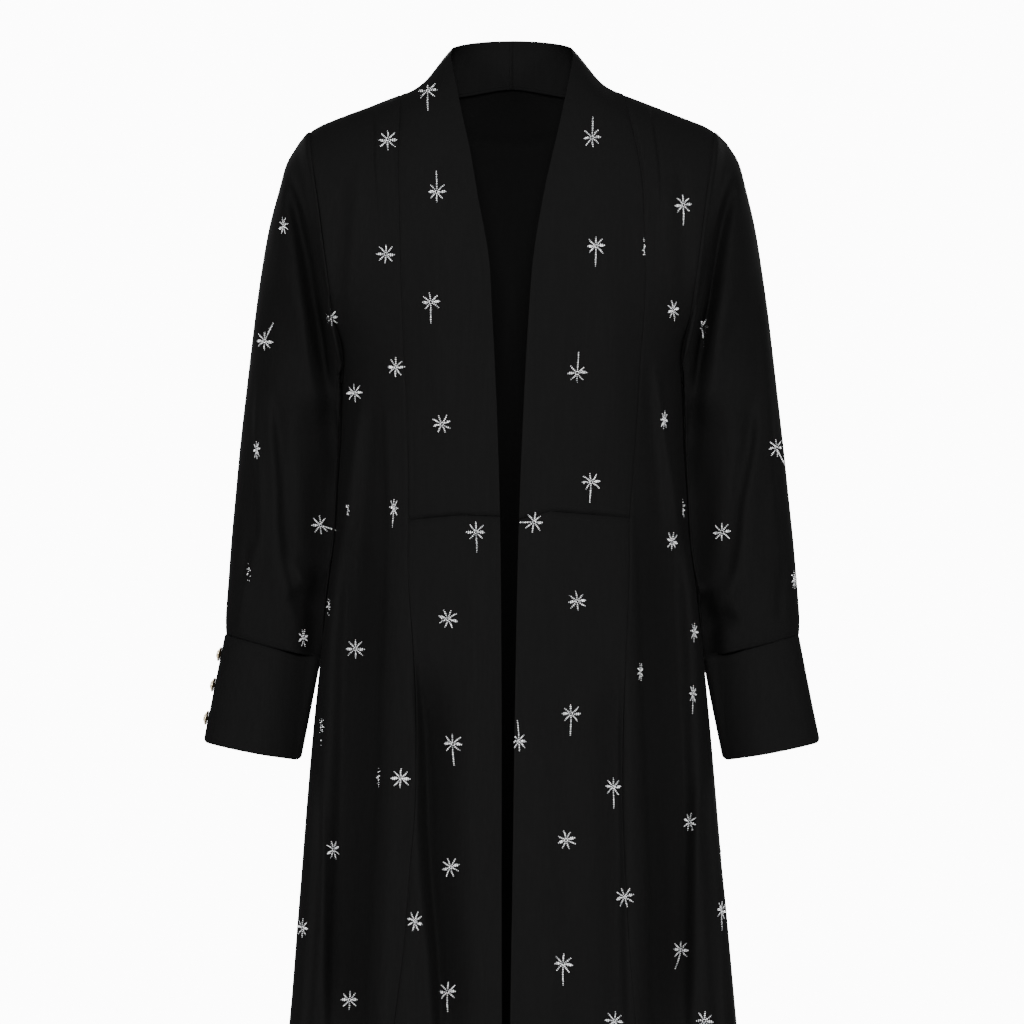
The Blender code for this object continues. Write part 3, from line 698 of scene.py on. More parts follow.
def side_front_grid(side):
    """Side front from the shoulder to the hem, from the band's seam to the side seam."""
    shares = spread(SIDE_COLUMNS)
    rows = []
    for level in upper_levels() + lower_levels()[1:]:
        rise = max(level, 0)
        seam = turn_at(FRONT_SEAMS, side, level)
        edge = side_sign(side) * (float(armhole_turn(rise, "front")) if rise > 0 else math.pi / 2)
        row = body_point(seam + (edge - seam) * shares, level)
        row[:, 1] -= pleat(shares, row[:, 2]) * (1 - ease(*PLEAT_FLAT_RISE, rise))
        rows.append(row)
    return np.array(rows)


def back_shares():
    """Columns of the back as shares of the half width, from the right to the left."""
    neck = np.linspace(0, BACK_NECK_SHARE, NECK_COLUMNS + 1)
    rest = BACK_NECK_SHARE + (1 - BACK_NECK_SHARE) * spread(BACK_COLUMNS)[len(EDGE_SHARES) - 1 :]
    half = np.concatenate((neck[:-1], rest))
    return np.concatenate((-half[:0:-1], half))


def back_grid():
    """Back from the shoulders and neckline to the hem."""
    top_turn = float(armhole_turn(1, "back"))
    top_reach = float(armhole_reach(1, body_size("back", UNDERARM_Z)))
    shares = back_shares()
    across = np.minimum(np.abs(top_reach * np.sin(shares * top_turn)) / SHOULDER_NECK_X, 1)
    rows = []
    for level in upper_levels() + lower_levels()[1:]:
        edge = float(armhole_turn(level, "back")) if level > 0 else math.pi / 2
        lowered = BACK_NECK_DROP * (1 - across**2) * float(ease(*BACK_NECK_RISE, level))
        rows.append(body_point(math.pi - shares * edge, level - lowered))
    return np.array(rows)


def rule(outer, inner, shares, hollow):
    """Points from the seam to the free edge. hollow bends them down at the side of the neck."""
    line = outer + (inner - outer) * shares[:, None]
    sag = SAG_SCALE * shares * (1 - shares) ** 2
    crown = 4 * shares * (1 - shares)
    outward = unit(np.array((outer[0], outer[1], 0.0)))
    line -= sag[:, None] * hollow * COLLAR_HOLLOW * (outward + np.array((0, 0, 1.0)))
    line += crown[:, None] * (1 - hollow) * BAND_CROWN * outward
    return line


def band_grid(side, back_neck):
    """Front band and collar from the waist up over the shoulder to the middle of the back."""
    sign = side_sign(side)
    shares = spread(BAND_COLUMNS)
    rows = []
    for level in reversed(upper_levels()):
        rise = max(level, 0)
        seam = turn_at(FRONT_SEAMS, side, level)
        edge = turn_at(FREE_EDGES, side, min(level, FREE_EDGE_RISE))
        on_chest = body_point(seam + (edge - seam) * shares, level)
        height = read(TURN_UP_COLUMNS, TURN_UP, "height", rise) * MM
        across = sign * read(TURN_UP_COLUMNS, TURN_UP, "half_width", rise) * MM
        ahead = -read(TURN_UP_COLUMNS, TURN_UP, "front", rise) * MM
        hollow = float(ease(*COLLAR_HOLLOW_RISE, rise))
        turned_up = rule(on_chest[0], np.array((across, ahead, height)), shares, hollow)
        blend = float(ease(*TURN_UP_BLEND, rise))
        rows.append(on_chest * (1 - blend) + turned_up * blend)
    for outer in back_neck[1:]:
        across = min(abs(outer[0]) / SHOULDER_NECK_X, 1)
        round_back = math.sqrt(1 - across**2)
        top = np.array((
            sign * COLLAR_HALF_WIDTH * across,
            COLLAR_SIDE_Y + (COLLAR_BACK_Y - COLLAR_SIDE_Y) * round_back,
            COLLAR_SIDE_Z + (COLLAR_BACK_Z - COLLAR_SIDE_Z) * round_back,
        ))
        rows.append(rule(outer, top, shares, 1 - COLLAR_BACK_FLATNESS * round_back))
    return np.array(rows)


def lower_front_grid(side):
    """Lower front from the waist to the hem, from its seam to the free edge."""
    shares = spread(LOWER_COLUMNS)
    rows = []
    for level in lower_levels():
        seam = turn_at(FRONT_SEAMS, side, level)
        edge = turn_at(FREE_EDGES, side, level)
        rows.append(body_point(seam + (edge - seam) * shares, level))
    return np.array(rows)


def ring(row, side):
    """Ring of a sleeve or cuff, from its outer point forward and round."""
    outer_x, outer_z, inner_x, inner_z, half_depth, back = [value * MM for value in row]
    middle_x, middle_z = (outer_x + inner_x) / 2, (outer_z + inner_z) / 2
    x = middle_x + (outer_x - middle_x) * np.cos(RING_ANGLES)
    z = middle_z + (outer_z - middle_z) * np.cos(RING_ANGLES)
    y = back - half_depth * np.sin(RING_ANGLES)
    return np.stack((side_sign(side) * x, y, z), axis=-1)


def armhole_ring(side, away):
    """Ring of the sleeve's head, a little way outside the armhole and down the shoulder's line."""
    rise = (1 + np.cos(RING_ANGLES)) / 2
    depth = body_depth(np.sin(RING_ANGLES) > 0, UNDERARM_Z)
    x = armhole_half_width(rise, depth)
    z = UNDERARM_Z + rise * (shoulder_line(x) - UNDERARM_Z)
    z = z - away * SLEEVE_HEAD_FALL * np.clip(np.cos(RING_ANGLES), 0, 1)
    y = -ARMHOLE_HALF_DEPTH * np.sin(RING_ANGLES) * armhole_narrowing(rise)
    return np.stack((side_sign(side) * (x + away), y, z), axis=-1)


def clear_of_body(points):
    """Sleeve points moved out where they would come too near the body."""
    x, y, z = np.abs(points[..., 0]), points[..., 1], points[..., 2]
    rise = np.clip((z - UNDERARM_Z) / (shoulder_line(x) - UNDERARM_Z), 0, HIGHEST_RISE)
    z_low = np.minimum(z, UNDERARM_Z)
    depth = body_depth(y < 0, z_low)
    reach = np.where(rise > 0, armhole_reach(rise, depth), body_size("half_width", z_low))
    seam = np.where(rise > 0, armhole_half_width(rise, depth), reach)
    depth = depth * np.sqrt(1 - rise**SHOULDER_POWER) + BODY_CLEARANCE
    inside = np.clip(1 - (y / depth) ** 2, 0, 1)
    limit = np.minimum(reach * np.sqrt(inside), seam) + BODY_CLEARANCE
    moved = np.where(inside > 0, np.maximum(x, limit), x)
    points = points.copy()
    points[..., 0] = np.sign(points[..., 0]) * moved
    return points


def unit(vectors):
    """Vectors of length one."""
    return vectors / np.linalg.norm(vectors, axis=-1, keepdims=True)


def between_rings(rows, steps):
    """Rings read from a smooth curve through the table's rings."""
    table = np.array(rows, dtype=float)
    at = np.arange(len(table), dtype=float)
    fine = np.linspace(0, len(table) - 1, steps)
    return np.stack([curve_through(at, table[:, k], fine) for k in range(table.shape[1])], axis=-1)


def cuff_grid(side):
    """Cuff from its seam to its hem."""
    ends = [ring(row, side) for row in CUFF_ENDS]
    from_fold = CUFF_HALF_WIDTH * (1 - np.abs(np.cos(RING_ANGLES)))
    short = np.clip(CUFF_CORNER - from_fold, 0, None)
    lift = CUFF_CORNER - np.sqrt(CUFF_CORNER**2 - short**2)
    length = np.linalg.norm(ends[1] - ends[0], axis=-1)
    rows = []
    for share in np.linspace(0, 1, CUFF_ROWS):
        shorter = share - lift / length * ease(1 - CUFF_CORNER_SHARE, 1, share)
        rows.append(ends[0] + (ends[1] - ends[0]) * shorter[:, None])
    return np.array(rows)


def sleeve_grid(side):
    """Sleeve from the armhole to the cuff's seam."""
    rings = [clear_of_body(ring(row, side)) for row in between_rings(SLEEVE_RINGS, SLEEVE_ROWS)]
    cuff = cuff_grid(side)
    seam = cuff[0] + unit(cuff[0] - cuff[1]) * SEAM_GAP
    roll = [rings[-1] + (seam - rings[-1]) * share for share in ROLL_SHARES]
    head = [armhole_ring(side, away) for away in (SEAM_GAP, SLEEVE_STRIP)]
    cap = [head[1] + (rings[0] - head[1]) * share for share in CAP_SHARES]
    return np.array(head + cap + rings + roll)


def normals(grid, centre, tube):
    """Outward normals of a grid of points about a centre line."""
    down = np.gradient(grid, axis=0)
    if tube:
        across = (np.roll(grid, -1, axis=1) - np.roll(grid, 1, axis=1)) / 2
    else:
        across = np.gradient(grid, axis=1)
    normal = np.cross(down, across)
    normal /= np.maximum(np.linalg.norm(normal, axis=-1, keepdims=True), 1e-12)
    outward = grid[..., :2] - centre
    facing = np.einsum("ijk,ijk->", normal[..., :2], outward)
    return normal if facing > 0 else -normal


def smooth_line(line, steps=24):
    """A line through a few points, made smooth."""
    points = np.array(line, dtype=float)
    at = np.concatenate(([0], np.cumsum(np.hypot(*np.diff(points, axis=0).T))))
    fine = np.linspace(0, at[-1], steps)
    return np.stack([curve_through(at, points[:, k], fine) for k in range(2)], axis=-1)


def from_pixels(line):
    """Points of the picture's plane, in metres, from the photograph's pixels."""
    points = np.array(line, dtype=float)
    return (points - (ZERO_COLUMN, ZERO_ROW)) * (PIXEL, -PIXEL)


def crease_height(x, z, creases, in_pixels):
    """Total height of a table's creases at each place seen from the front or from behind."""
    total = np.zeros(x.shape)
    for height, left_width, right_width, line in creases:
        points = smooth_line(from_pixels(line) if in_pixels else np.array(line) * MM)
        steps = np.diff(points, axis=0)
        lengths = np.hypot(*steps.T)
        best = np.full(x.shape, np.inf)
        share = np.zeros(x.shape)
        width = np.full(x.shape, float(left_width))
        start = 0.0
        for (ax, az), (dx, dz), length in zip(points[:-1], steps, lengths):
            t = np.clip(((x - ax) * dx + (z - az) * dz) / length**2, 0, 1)
            away = np.hypot(x - ax - t * dx, z - az - t * dz)
            nearer = away < best
            best = np.where(nearer, away, best)
            share = np.where(nearer, (start + t * length) / lengths.sum(), share)
            on_right = dx * (z - az) - dz * (x - ax) > 0
            width = np.where(nearer, np.where(on_right, right_width, left_width), width)
            start += length
        taper = ease(*CREASE_RISE, share) * (1 - ease(*CREASE_FADE, share))
        total += height * MM * np.exp(-((best / (width * MM)) ** 2)) * taper
    return total


def creased(grid, centre, tube, front, behind, sign=1):
    """A grid moved forward or back by the creases of its front and of its back, no deeper than
    its hollow allows."""
    normal = normals(grid, centre, tube)
    base, rate = CREASE_FACING
    x, z = grid[..., 0], grid[..., 2]
    nearer = CAMERA_AWAY / (CAMERA_AWAY + grid[..., 1])
    seen_x, seen_z = x * nearer, CAMERA_Z + (z - CAMERA_Z) * nearer
    deepest = CREASE_SHARE * np.abs(grid[..., 1] - centre[1]) + TINY
    grid = grid.copy()
    for facing, height in ((-1, crease_height(seen_x, seen_z, front, True)),
                           (1, crease_height(x * sign, z, behind, False))):
        share = np.clip(base + facing * rate * normal[..., 1], 0, 1)
        height = np.where(height < 0, -deepest * np.tanh(-height / deepest), height)
        grid[..., 1] += facing * height * share
    return grid


def waved(grid, centre, tube, seed, amount):
    """Slight unevenness of hanging cloth, from a few long sine waves."""
    normal = normals(grid, centre, tube)
    rng = np.random.default_rng(seed)
    x, y, z = grid[..., 0], grid[..., 1], grid[..., 2]
    total = np.zeros(x.shape)
    for _ in range(WAVE_COUNT):
        rate_x, rate_y, rate_z = rng.normal(size=3) * np.array(WAVE_RATES)
        total += np.sin(x * rate_x + y * rate_y + z * rate_z + rng.uniform(0, WAVE_START))
    return grid + normal * (total * amount / 2)[..., None]


def seam_dip(grid, centre, tube, first=0.0, last=0.0, top=0.0):
    """Edges drawn in beside their seams, by the amounts named."""
    normal = normals(grid, centre, tube)
    total = np.zeros(grid.shape[:2])
    for amount, line, axis in ((first, 0, 1), (last, -1, 1), (top, 0, 0)):
        if amount:
            edge = np.take(grid, [line], axis=axis)
            away = np.linalg.norm(grid - edge, axis=-1)
            total -= amount * np.exp(-((away / DIP_REACH) ** 2))
    return grid + normal * total[..., None]


def material(name):
    """A new material, its nodes and links, and its Principled shader."""
    made = bpy.data.materials.new(name)
    made.use_nodes = True
    return made, made.node_tree.nodes, made.node_tree.links, made.node_tree.nodes["Principled BSDF"]


def stretched_noise(nodes, links, scale, stretch, detail):
    """Noise in a piece's own space, scaled along each axis."""
    place = nodes.new("ShaderNodeTexCoord")
    mapping = nodes.new("ShaderNodeMapping")
    mapping.inputs["Scale"].default_value = stretch
    noise = nodes.new("ShaderNodeTexNoise")
    noise.inputs["Scale"].default_value = scale
    noise.inputs["Detail"].default_value = detail
    links.new(place.outputs["Object"], mapping.inputs["Vector"])
    links.new(mapping.outputs["Vector"], noise.inputs["Vector"])
    return noise


def ramp(nodes, links, source, low, high, stops=(0.35, 0.65)):
    """Two colours spread over a noise."""
    made = nodes.new("ShaderNodeValToRGB")
    made.color_ramp.elements[0].position = stops[0]
    made.color_ramp.elements[1].position = stops[1]
    made.color_ramp.elements[0].color = (*low, 1)
    made.color_ramp.elements[1].color = (*high, 1)
    links.new(source, made.inputs["Fac"])
    return made


def bump(nodes, links, source, strength, distance):
    """Relief worked out from a noise."""
    made = nodes.new("ShaderNodeBump")
    made.inputs["Strength"].default_value = strength
    made.inputs["Distance"].default_value = distance
    links.new(source, made.inputs["Height"])
    return made


def grey(value):
    """A colour with the same value three times."""
    return value, value, value


def crepe():
    """Matt black crepe: a fine pebble, an upright slub and a soft sheen."""
    made, nodes, links, shader = material("black_crepe")
    pebble = stretched_noise(nodes, links, scale=900, stretch=(1, 1, 0.8), detail=3)
    slub = stretched_noise(nodes, links, scale=420, stretch=(1, 1, 0.045), detail=4)
    cloud = stretched_noise(nodes, links, scale=24, stretch=(1, 1, 0.35), detail=2)
    colour = ramp(nodes, links, slub.outputs["Fac"], grey(0.0033), grey(0.0036))
    links.new(colour.outputs["Color"], shader.inputs["Base Color"])
    rough = ramp(nodes, links, cloud.outputs["Fac"], grey(0.84), grey(0.94))
    links.new(rough.outputs["Color"], shader.inputs["Roughness"])
    shader.inputs["IOR"].default_value = 1.04
    shader.inputs["Specular IOR Level"].default_value = 0.5
    shader.inputs["Sheen Weight"].default_value = 0.0016
    shader.inputs["Sheen Roughness"].default_value = 0.45
    fine = bump(nodes, links, pebble.outputs["Fac"], strength=0.2, distance=0.15 * MM)
    upright = bump(nodes, links, slub.outputs["Fac"], strength=0.04, distance=0.12 * MM)
    links.new(fine.outputs["Normal"], upright.inputs["Normal"])
    links.new(upright.outputs["Normal"], shader.inputs["Normal"])
    return made


def beads_look():
    """Silver-lined glass seed beads, mottled dark and bright at random: the mottling is painted glints over
    the beads' own slight unevenness.
    """
    made, nodes, links, shader = material("silver_beads")
    cloud = stretched_noise(nodes, links, scale=520, stretch=(1, 1, 1), detail=2)
    # Dark and bright bead colours: painted glints, scattered at random from bead to bead.
    dark, light = (0.24, 0.25, 0.26), (0.86, 0.86, 0.87)
    colour = ramp(nodes, links, cloud.outputs["Fac"], dark, light, stops=(0.38, 0.60))
    links.new(colour.outputs["Color"], shader.inputs["Base Color"])
    shader.inputs["Metallic"].default_value = 0.35
    shader.inputs["Roughness"].default_value = 0.22
    shader.inputs["Coat Weight"].default_value = 0.6
    shader.inputs["Coat Roughness"].default_value = 0.06
    return made


def gold_look():
    """Antique gold plate, a little worn."""
    made, nodes, links, shader = material("old_gold")
    cloud = stretched_noise(nodes, links, scale=700, stretch=(1, 1, 1), detail=3)
    colour = ramp(nodes, links, cloud.outputs["Fac"], (0.70, 0.54, 0.30), (1.0, 0.90, 0.66))
    links.new(colour.outputs["Color"], shader.inputs["Base Color"])
    rough = ramp(nodes, links, cloud.outputs["Fac"], grey(0.36), grey(0.16))
    links.new(rough.outputs["Color"], shader.inputs["Roughness"])
    shader.inputs["Metallic"].default_value = 0.7
    worn = bump(nodes, links, cloud.outputs["Fac"], strength=0.2, distance=0.15 * MM)
    links.new(worn.outputs["Normal"], shader.inputs["Normal"])
    return made


def tarnish_look():
    """Dark metal left in the recesses of the buttons."""
    made, nodes, links, shader = material("tarnished_gold")
    cloud = stretched_noise(nodes, links, scale=900, stretch=(1, 1, 1), detail=2)
    colour = ramp(nodes, links, cloud.outputs["Fac"], (0.012, 0.009, 0.006), (0.06, 0.042, 0.022))
    links.new(colour.outputs["Color"], shader.inputs["Base Color"])
    shader.inputs["Metallic"].default_value = 0.8
    shader.inputs["Roughness"].default_value = 0.5
    return made


def grid_faces(rows, columns, tube):
    """Corner numbers of a grid's quads."""
    faces = []
    for i in range(rows - 1):
        for j in range(columns if tube else columns - 1):
            after = (j + 1) % columns
            here, below = i * columns, (i + 1) * columns
            faces.append((here + j, below + j, below + after, here + after))
    return faces


def linked(name, content):
    """A mesh, light or camera put in the scene as an object."""
    piece = bpy.data.objects.new(name, content)
    bpy.context.scene.collection.objects.link(piece)
    return piece


def mesh_piece(name, points, faces, look, smooth=True):
    """A piece made of points and faces, in one material."""
    mesh = bpy.data.meshes.new(name)
    mesh.from_pydata(points, [], faces)
    mesh.materials.append(look)
    if smooth:
        mesh.shade_smooth()
    return linked(name, mesh)


def shell(name, grid, look, tube=False, turned=False):
    """A thin shell of cloth through a grid of points, thickened inward."""
    rows, columns = grid.shape[:2]
    points = grid.reshape(-1, 3).tolist()
    faces = grid_faces(rows, columns, tube)
    if turned:
        faces = [face[::-1] for face in faces]
    piece = mesh_piece(name, points, faces, look)
    wall = piece.modifiers.new("wall", "SOLIDIFY")
    wall.thickness = SHELL
    wall.offset = -1
    wall.use_quality_normals = True
    surfaces[name] = BVHTree.FromPolygons(points, faces)
    return piece


def dress(piece, node):
    """Put a finished piece on the frame in place of its node."""
    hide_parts(node)
    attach(piece, "root")


# Outer face of each piece of cloth, to sew the beads on, and the looks.
surfaces = {}
crepe_look = crepe()
silver = beads_look()
gold = gold_look()
tarnish = tarnish_look()


def arched(grid):
    """A front panel with its waist seam drawn a little up and down, as it hangs."""
    x, z = grid[..., 0] / MM, grid[..., 2]
    lift = np.interp(x, [at for at, _ in WAIST_ARCH], [up for _, up in WAIST_ARCH]) * MM
    grid = grid.copy()
    grid[..., 2] += lift * np.exp(-(((z - WAIST_Z) / WAIST_ARCH_REACH) ** 2))
    return grid


def finish_body(grid, seed, **dips):
    """Creases, unevenness and drawn-in seams of a body panel."""
    grid = creased(grid, BODY_CENTRE, False, FRONT_CREASES, BACK_CREASES)
    grid = waved(grid, BODY_CENTRE, False, seed, BODY_WAVE)
    return seam_dip(grid, BODY_CENTRE, False, **dips)


def finish_tube(grid, centre, seed, wave, dip):
    """Unevenness, drawn-in seam and turned-under edge of a creased sleeve or cuff."""
    grid = waved(grid, centre, True, seed, wave)
    grid = seam_dip(grid, centre, True, top=dip)
    return tucked(grid, centre, True, top=TUCK_REACH)


def inset(grid, first=False, last=False, top=False, bottom=False):
    """A grid drawn back from the seams named by half the seam's gap."""
    grid = grid.copy()
    edges = (
        (first, np.s_[:, 0], np.s_[:, 1]),
        (last, np.s_[:, -1], np.s_[:, -2]),
        (top, np.s_[0], np.s_[1]),
        (bottom, np.s_[-1], np.s_[-2]),
    )
    for wanted, edge, neighbour in edges:
        if wanted:
            grid[edge] += unit(grid[neighbour] - grid[edge]) * SEAM_GAP / 2
    return grid


def tucked(grid, centre, tube, **edges):
    """Seam allowances turned under the next pieces. Each edge named gives its reach, as one
    length or as one for each of its points."""
    normal = normals(grid, centre, tube)
    for name, reach in edges.items():
        axis = 0 if name in ("top", "bottom") else 1
        ahead = name in ("top", "first")
        edge = np.take(grid, 0 if ahead else -1, axis=axis)
        inner = np.take(grid, 1 if ahead else -2, axis=axis)
        facing = np.take(normal, 0 if ahead else -1, axis=axis)
        along = unit(edge - inner)
        reach = np.broadcast_to(np.asarray(reach, dtype=float), (len(edge),))[:, None]
        turned = edge + along * reach * TUCK_TURN - facing * TUCK_DROPS[0]
        end = edge + along * reach - facing * TUCK_DROPS[1]
        extra = (end, turned) if ahead else (turned, end)
        strip = np.stack(extra, axis=axis)
        blank = np.stack((facing, facing), axis=axis)
        grid = np.concatenate((strip, grid) if ahead else (grid, strip), axis=axis)
        normal = np.concatenate((blank, normal) if ahead else (normal, blank), axis=axis)
    return grid


def sew(name, node, shape, tube=False, turned=False):
    """A finished piece of crepe, in place of its node."""
    piece = shell(name, shape, crepe_look, tube=tube, turned=turned)
    dress(piece, node)


def make_back(back):
    """The back, with its seam allowances turned under below the arms."""
    shape = finish_body(back, WAVE_SEEDS["back"], first=SEAM_DIP, last=SEAM_DIP, top=SEAM_DIP)
    shape = inset(shape, first=True, last=True, top=True)
    below_arm = np.where(np.arange(len(shape)) > ARMHOLE_ROWS, TUCK_REACH, 0)
    shape = tucked(shape, BODY_CENTRE, False, first=below_arm, last=below_arm)
    sew("back_panel", "back", shape, turned=True)


def make_side_front(side, left):
    """A side front, tucked under the band and over the shoulder."""
    seed = WAVE_SEEDS["side_front"] + left
    shape = finish_body(side_front_grid(side), seed, first=SEAM_DIP, last=SEAM_DIP, top=SEAM_DIP)
    shape = inset(shape, first=True, last=True, top=True)
    shape = tucked(shape, BODY_CENTRE, False, first=TUCK_REACH)
    shape = tucked(shape, BODY_CENTRE, False, top=TUCK_REACH)
    sew("side_panel_" + side, "side_front_" + side, shape, turned=not left)


def make_band(side, left, back_neck):
    """A front band with its half of the collar, along the neckline of the back."""
    middle = len(back_neck) // 2
    if left:
        neck_row = back_neck[middle : middle + NECK_COLUMNS + 1][::-1]
    else:
        neck_row = back_neck[middle - NECK_COLUMNS : middle + 1]
    seed = WAVE_SEEDS["band"] + left
    shape = finish_body(arched(band_grid(side, neck_row)), seed, first=SEAM_DIP, top=SEAM_DIP)
    shape = inset(shape, first=True, top=True, bottom=True)
    behind_shoulder = np.where(np.arange(len(shape)) > len(shape) - NECK_COLUMNS, TUCK_REACH, 0)
    shape = tucked(shape, BODY_CENTRE, False, first=behind_shoulder)
    if left:
        shape = tucked(shape, BODY_CENTRE, False, bottom=TUCK_REACH)
    sew("band_collar_" + side, "band_" + side, shape, turned=not left)


def make_lower_front(side, left):
    """A lower front, tucked under the band at the waist."""
    seed = WAVE_SEEDS["lower_front"] + left
    shape = finish_body(arched(lower_front_grid(side)), seed, first=SEAM_DIP, top=SEAM_DIP)
    shape = inset(shape, first=True, top=True)
    shape = tucked(shape, BODY_CENTRE, False, top=TUCK_REACH)
    sew("lower_panel_" + side, "lower_front_" + side, shape, turned=left)


def make_sleeve(side, left):
    """A sleeve and its cuff."""
    sign = side_sign(side)
    centre = np.array(SLEEVE_CENTRE) * (sign, 1)
    shape = creased(sleeve_grid(side), centre, True, SLEEVE_CREASES[side], SLEEVE_BACK_CREASES, sign)
    shape = finish_tube(shape, centre, WAVE_SEEDS["sleeve"] + left, SLEEVE_WAVE, SEAM_DIP)
    sew("arm_" + side, "sleeve_" + side, shape, tube=True, turned=left)

    centre = np.array(CUFF_CENTRE) * (sign, 1)
    shape = creased(cuff_grid(side), centre, True, CUFF_CREASES[side], ())
    shape = finish_tube(shape, centre, WAVE_SEEDS["cuff"] + left, CUFF_WAVE, CUFF_DIP)
    sew("wrist_" + side, "cuff_" + side, shape, tube=True, turned=left)


def make_cloth():
    """Every panel, sleeve and cuff."""
    back = back_grid()
    make_back(back)
    for side in ("right", "left"):
        left = side == "left"
        make_side_front(side, left)
        make_band(side, left, back[0])
        make_lower_front(side, left)
        make_sleeve(side, left)


def button_seat(side, share):
    """Place and outward direction of a button on its cuff."""
    ends = [np.array(row) * MM for row in CUFF_ENDS]
    outer_x, outer_z, inner_x, inner_z, half_depth, back = ends[0] + (ends[1] - ends[0]) * share
    angle = math.radians(BUTTON_ANGLES[side])
    across = np.array((outer_x - inner_x, 0, outer_z - inner_z)) / 2
    middle = np.array(((outer_x + inner_x) / 2, back, (outer_z + inner_z) / 2))
    place = middle + across * math.cos(angle) + np.array((0, half_depth * math.sin(angle), 0))
    half_width = np.linalg.norm(across)
    outward = across / half_width * math.cos(angle) / half_width
    outward += np.array((0, math.sin(angle) / half_depth, 0))
    mirror = np.array((side_sign(side), 1, 1))
    return place * mirror, unit(outward) * mirror


def button_mesh():
    """Domed button: a fluted dome, a beaded rim and a dark groove between them, on a shank."""
    verts = []
    faces = []
    dark = []
    for k, (radius, height, relief, _) in enumerate(BUTTON_RINGS):
        flutes = DOME_FLUTES if k < DOME_RINGS else RIM_BEADS
        for step in range(BUTTON_SIDES):
            turn = 2 * math.pi * step / BUTTON_SIDES
            wave = relief * (abs(math.cos(flutes * turn / 2)) - 0.5)
            r = radius * BUTTON_RADIUS
            verts.append((r * math.cos(turn), r * math.sin(turn), (height + wave) * BUTTON_HEIGHT))
    for k in range(len(BUTTON_RINGS) - 1):
        for step in range(BUTTON_SIDES):
            after = (step + 1) % BUTTON_SIDES
            a, b = k * BUTTON_SIDES + step, k * BUTTON_SIDES + after
            faces.append((a, a + BUTTON_SIDES, b + BUTTON_SIDES, b))
            dark.append(BUTTON_RINGS[k][3] or BUTTON_RINGS[k + 1][3])
    mesh = bpy.data.meshes.new("button")
    mesh.from_pydata(verts, [], faces)
    mesh.materials.append(gold)
    mesh.materials.append(tarnish)
    mesh.polygons.foreach_set("material_index", dark)
    mesh.shade_smooth()
    joined = bmesh.new()
    joined.from_mesh(mesh)
    bmesh.ops.remove_doubles(joined, verts=joined.verts, dist=TINY)
    bmesh.ops.recalc_face_normals(joined, faces=joined.faces)
    joined.to_mesh(mesh)
    joined.free()
    return mesh


def make_buttons():
    """Three buttons on each cuff."""
    mesh = button_mesh()
    for side in ("right", "left"):
        for number, share in enumerate(BUTTON_SHARES, start=1):
            place, outward = button_seat(side, share)
            piece = linked(f"shank_button_{side}_{number}", mesh.copy())
            piece.rotation_mode = "QUATERNION"
            piece.rotation_quaternion = Vector(outward).to_track_quat("Z", "Y")
            piece.location = place + outward * SEAM_GAP
            dress(piece, f"button_{side}_{number}")


def camera_place():
    """Where the camera stands."""
    middle = FRAME_PIXELS / 2
    return Vector(((middle - ZERO_COLUMN) * PIXEL, -CAMERA_AWAY, CAMERA_Z))


def hit(start, direction):
    """First surface of the cloak that a ray meets: its name, the place and the outward normal."""
    found = None
    for name, tree in surfaces.items():
        place, normal, _, away = tree.ray_cast(start, direction)
        if place is not None and (found is None or away < found[3]):
            found = (name, place, normal, away)
    if found is None:
        return None
    name, place, normal, _ = found
    if normal.dot(direction) > 0:
        normal = -normal
    return name, place, normal


def bead_template():
    """Points and faces of one seed bead, its hole along X."""
    points = [(-BEAD_END, 0, 0)]
    for along, radius in BEAD_RINGS:
        for step in range(BEAD_SIDES):
            turn = 2 * math.pi * step / BEAD_SIDES
            points.append((along, radius * math.cos(turn), radius * math.sin(turn)))
    points.append((BEAD_END, 0, 0))
    faces = []
    for step in range(BEAD_SIDES):
        after = (step + 1) % BEAD_SIDES
        faces.append((0, 1 + after, 1 + step))
        for level in range(len(BEAD_RINGS) - 1):
            a, b = 1 + level * BEAD_SIDES + step, 1 + level * BEAD_SIDES + after
            faces.append((a, b, b + BEAD_SIDES, a + BEAD_SIDES))
        last = 1 + (len(BEAD_RINGS) - 1) * BEAD_SIDES
        faces.append((last + step, last + after, len(points) - 1))
    return np.array(points), faces


def petal_row(angle, length, start, fullness, rng):
    """Beads of one petal: a single row, or a leaf that is two beads wide in the middle."""
    towards = np.array((math.cos(angle), math.sin(angle)))
    across = np.array((-towards[1], towards[0]))
    bend = rng.uniform(-1, 1) * PETAL_BEND
    count = max(round((length - start) / BEAD_PITCH) + 1, 2)
    beads = []
    for k in range(count):
        share = k / (count - 1)
        place = towards * (start + (length - start) * share) + across * bend * math.sin(math.pi * share)
        half = LEAF_HALF_GAP * fullness * math.sin(math.pi * share**LEAF_POWER)
        swell = min(SWELL_SPAN[0] + SWELL_SPAN[1] * share**SWELL_POWER, 1)
        size = LEAST_BEAD + BEAD_SWELL * math.sin(math.pi * swell) + LEAF_SWELL * fullness
        for side in (-1, 1) if half > LEAST_HALF_GAP else (0,):
            moved = place + across * side * half
            beads.append((moved[0], moved[1], angle, size))
    return beads


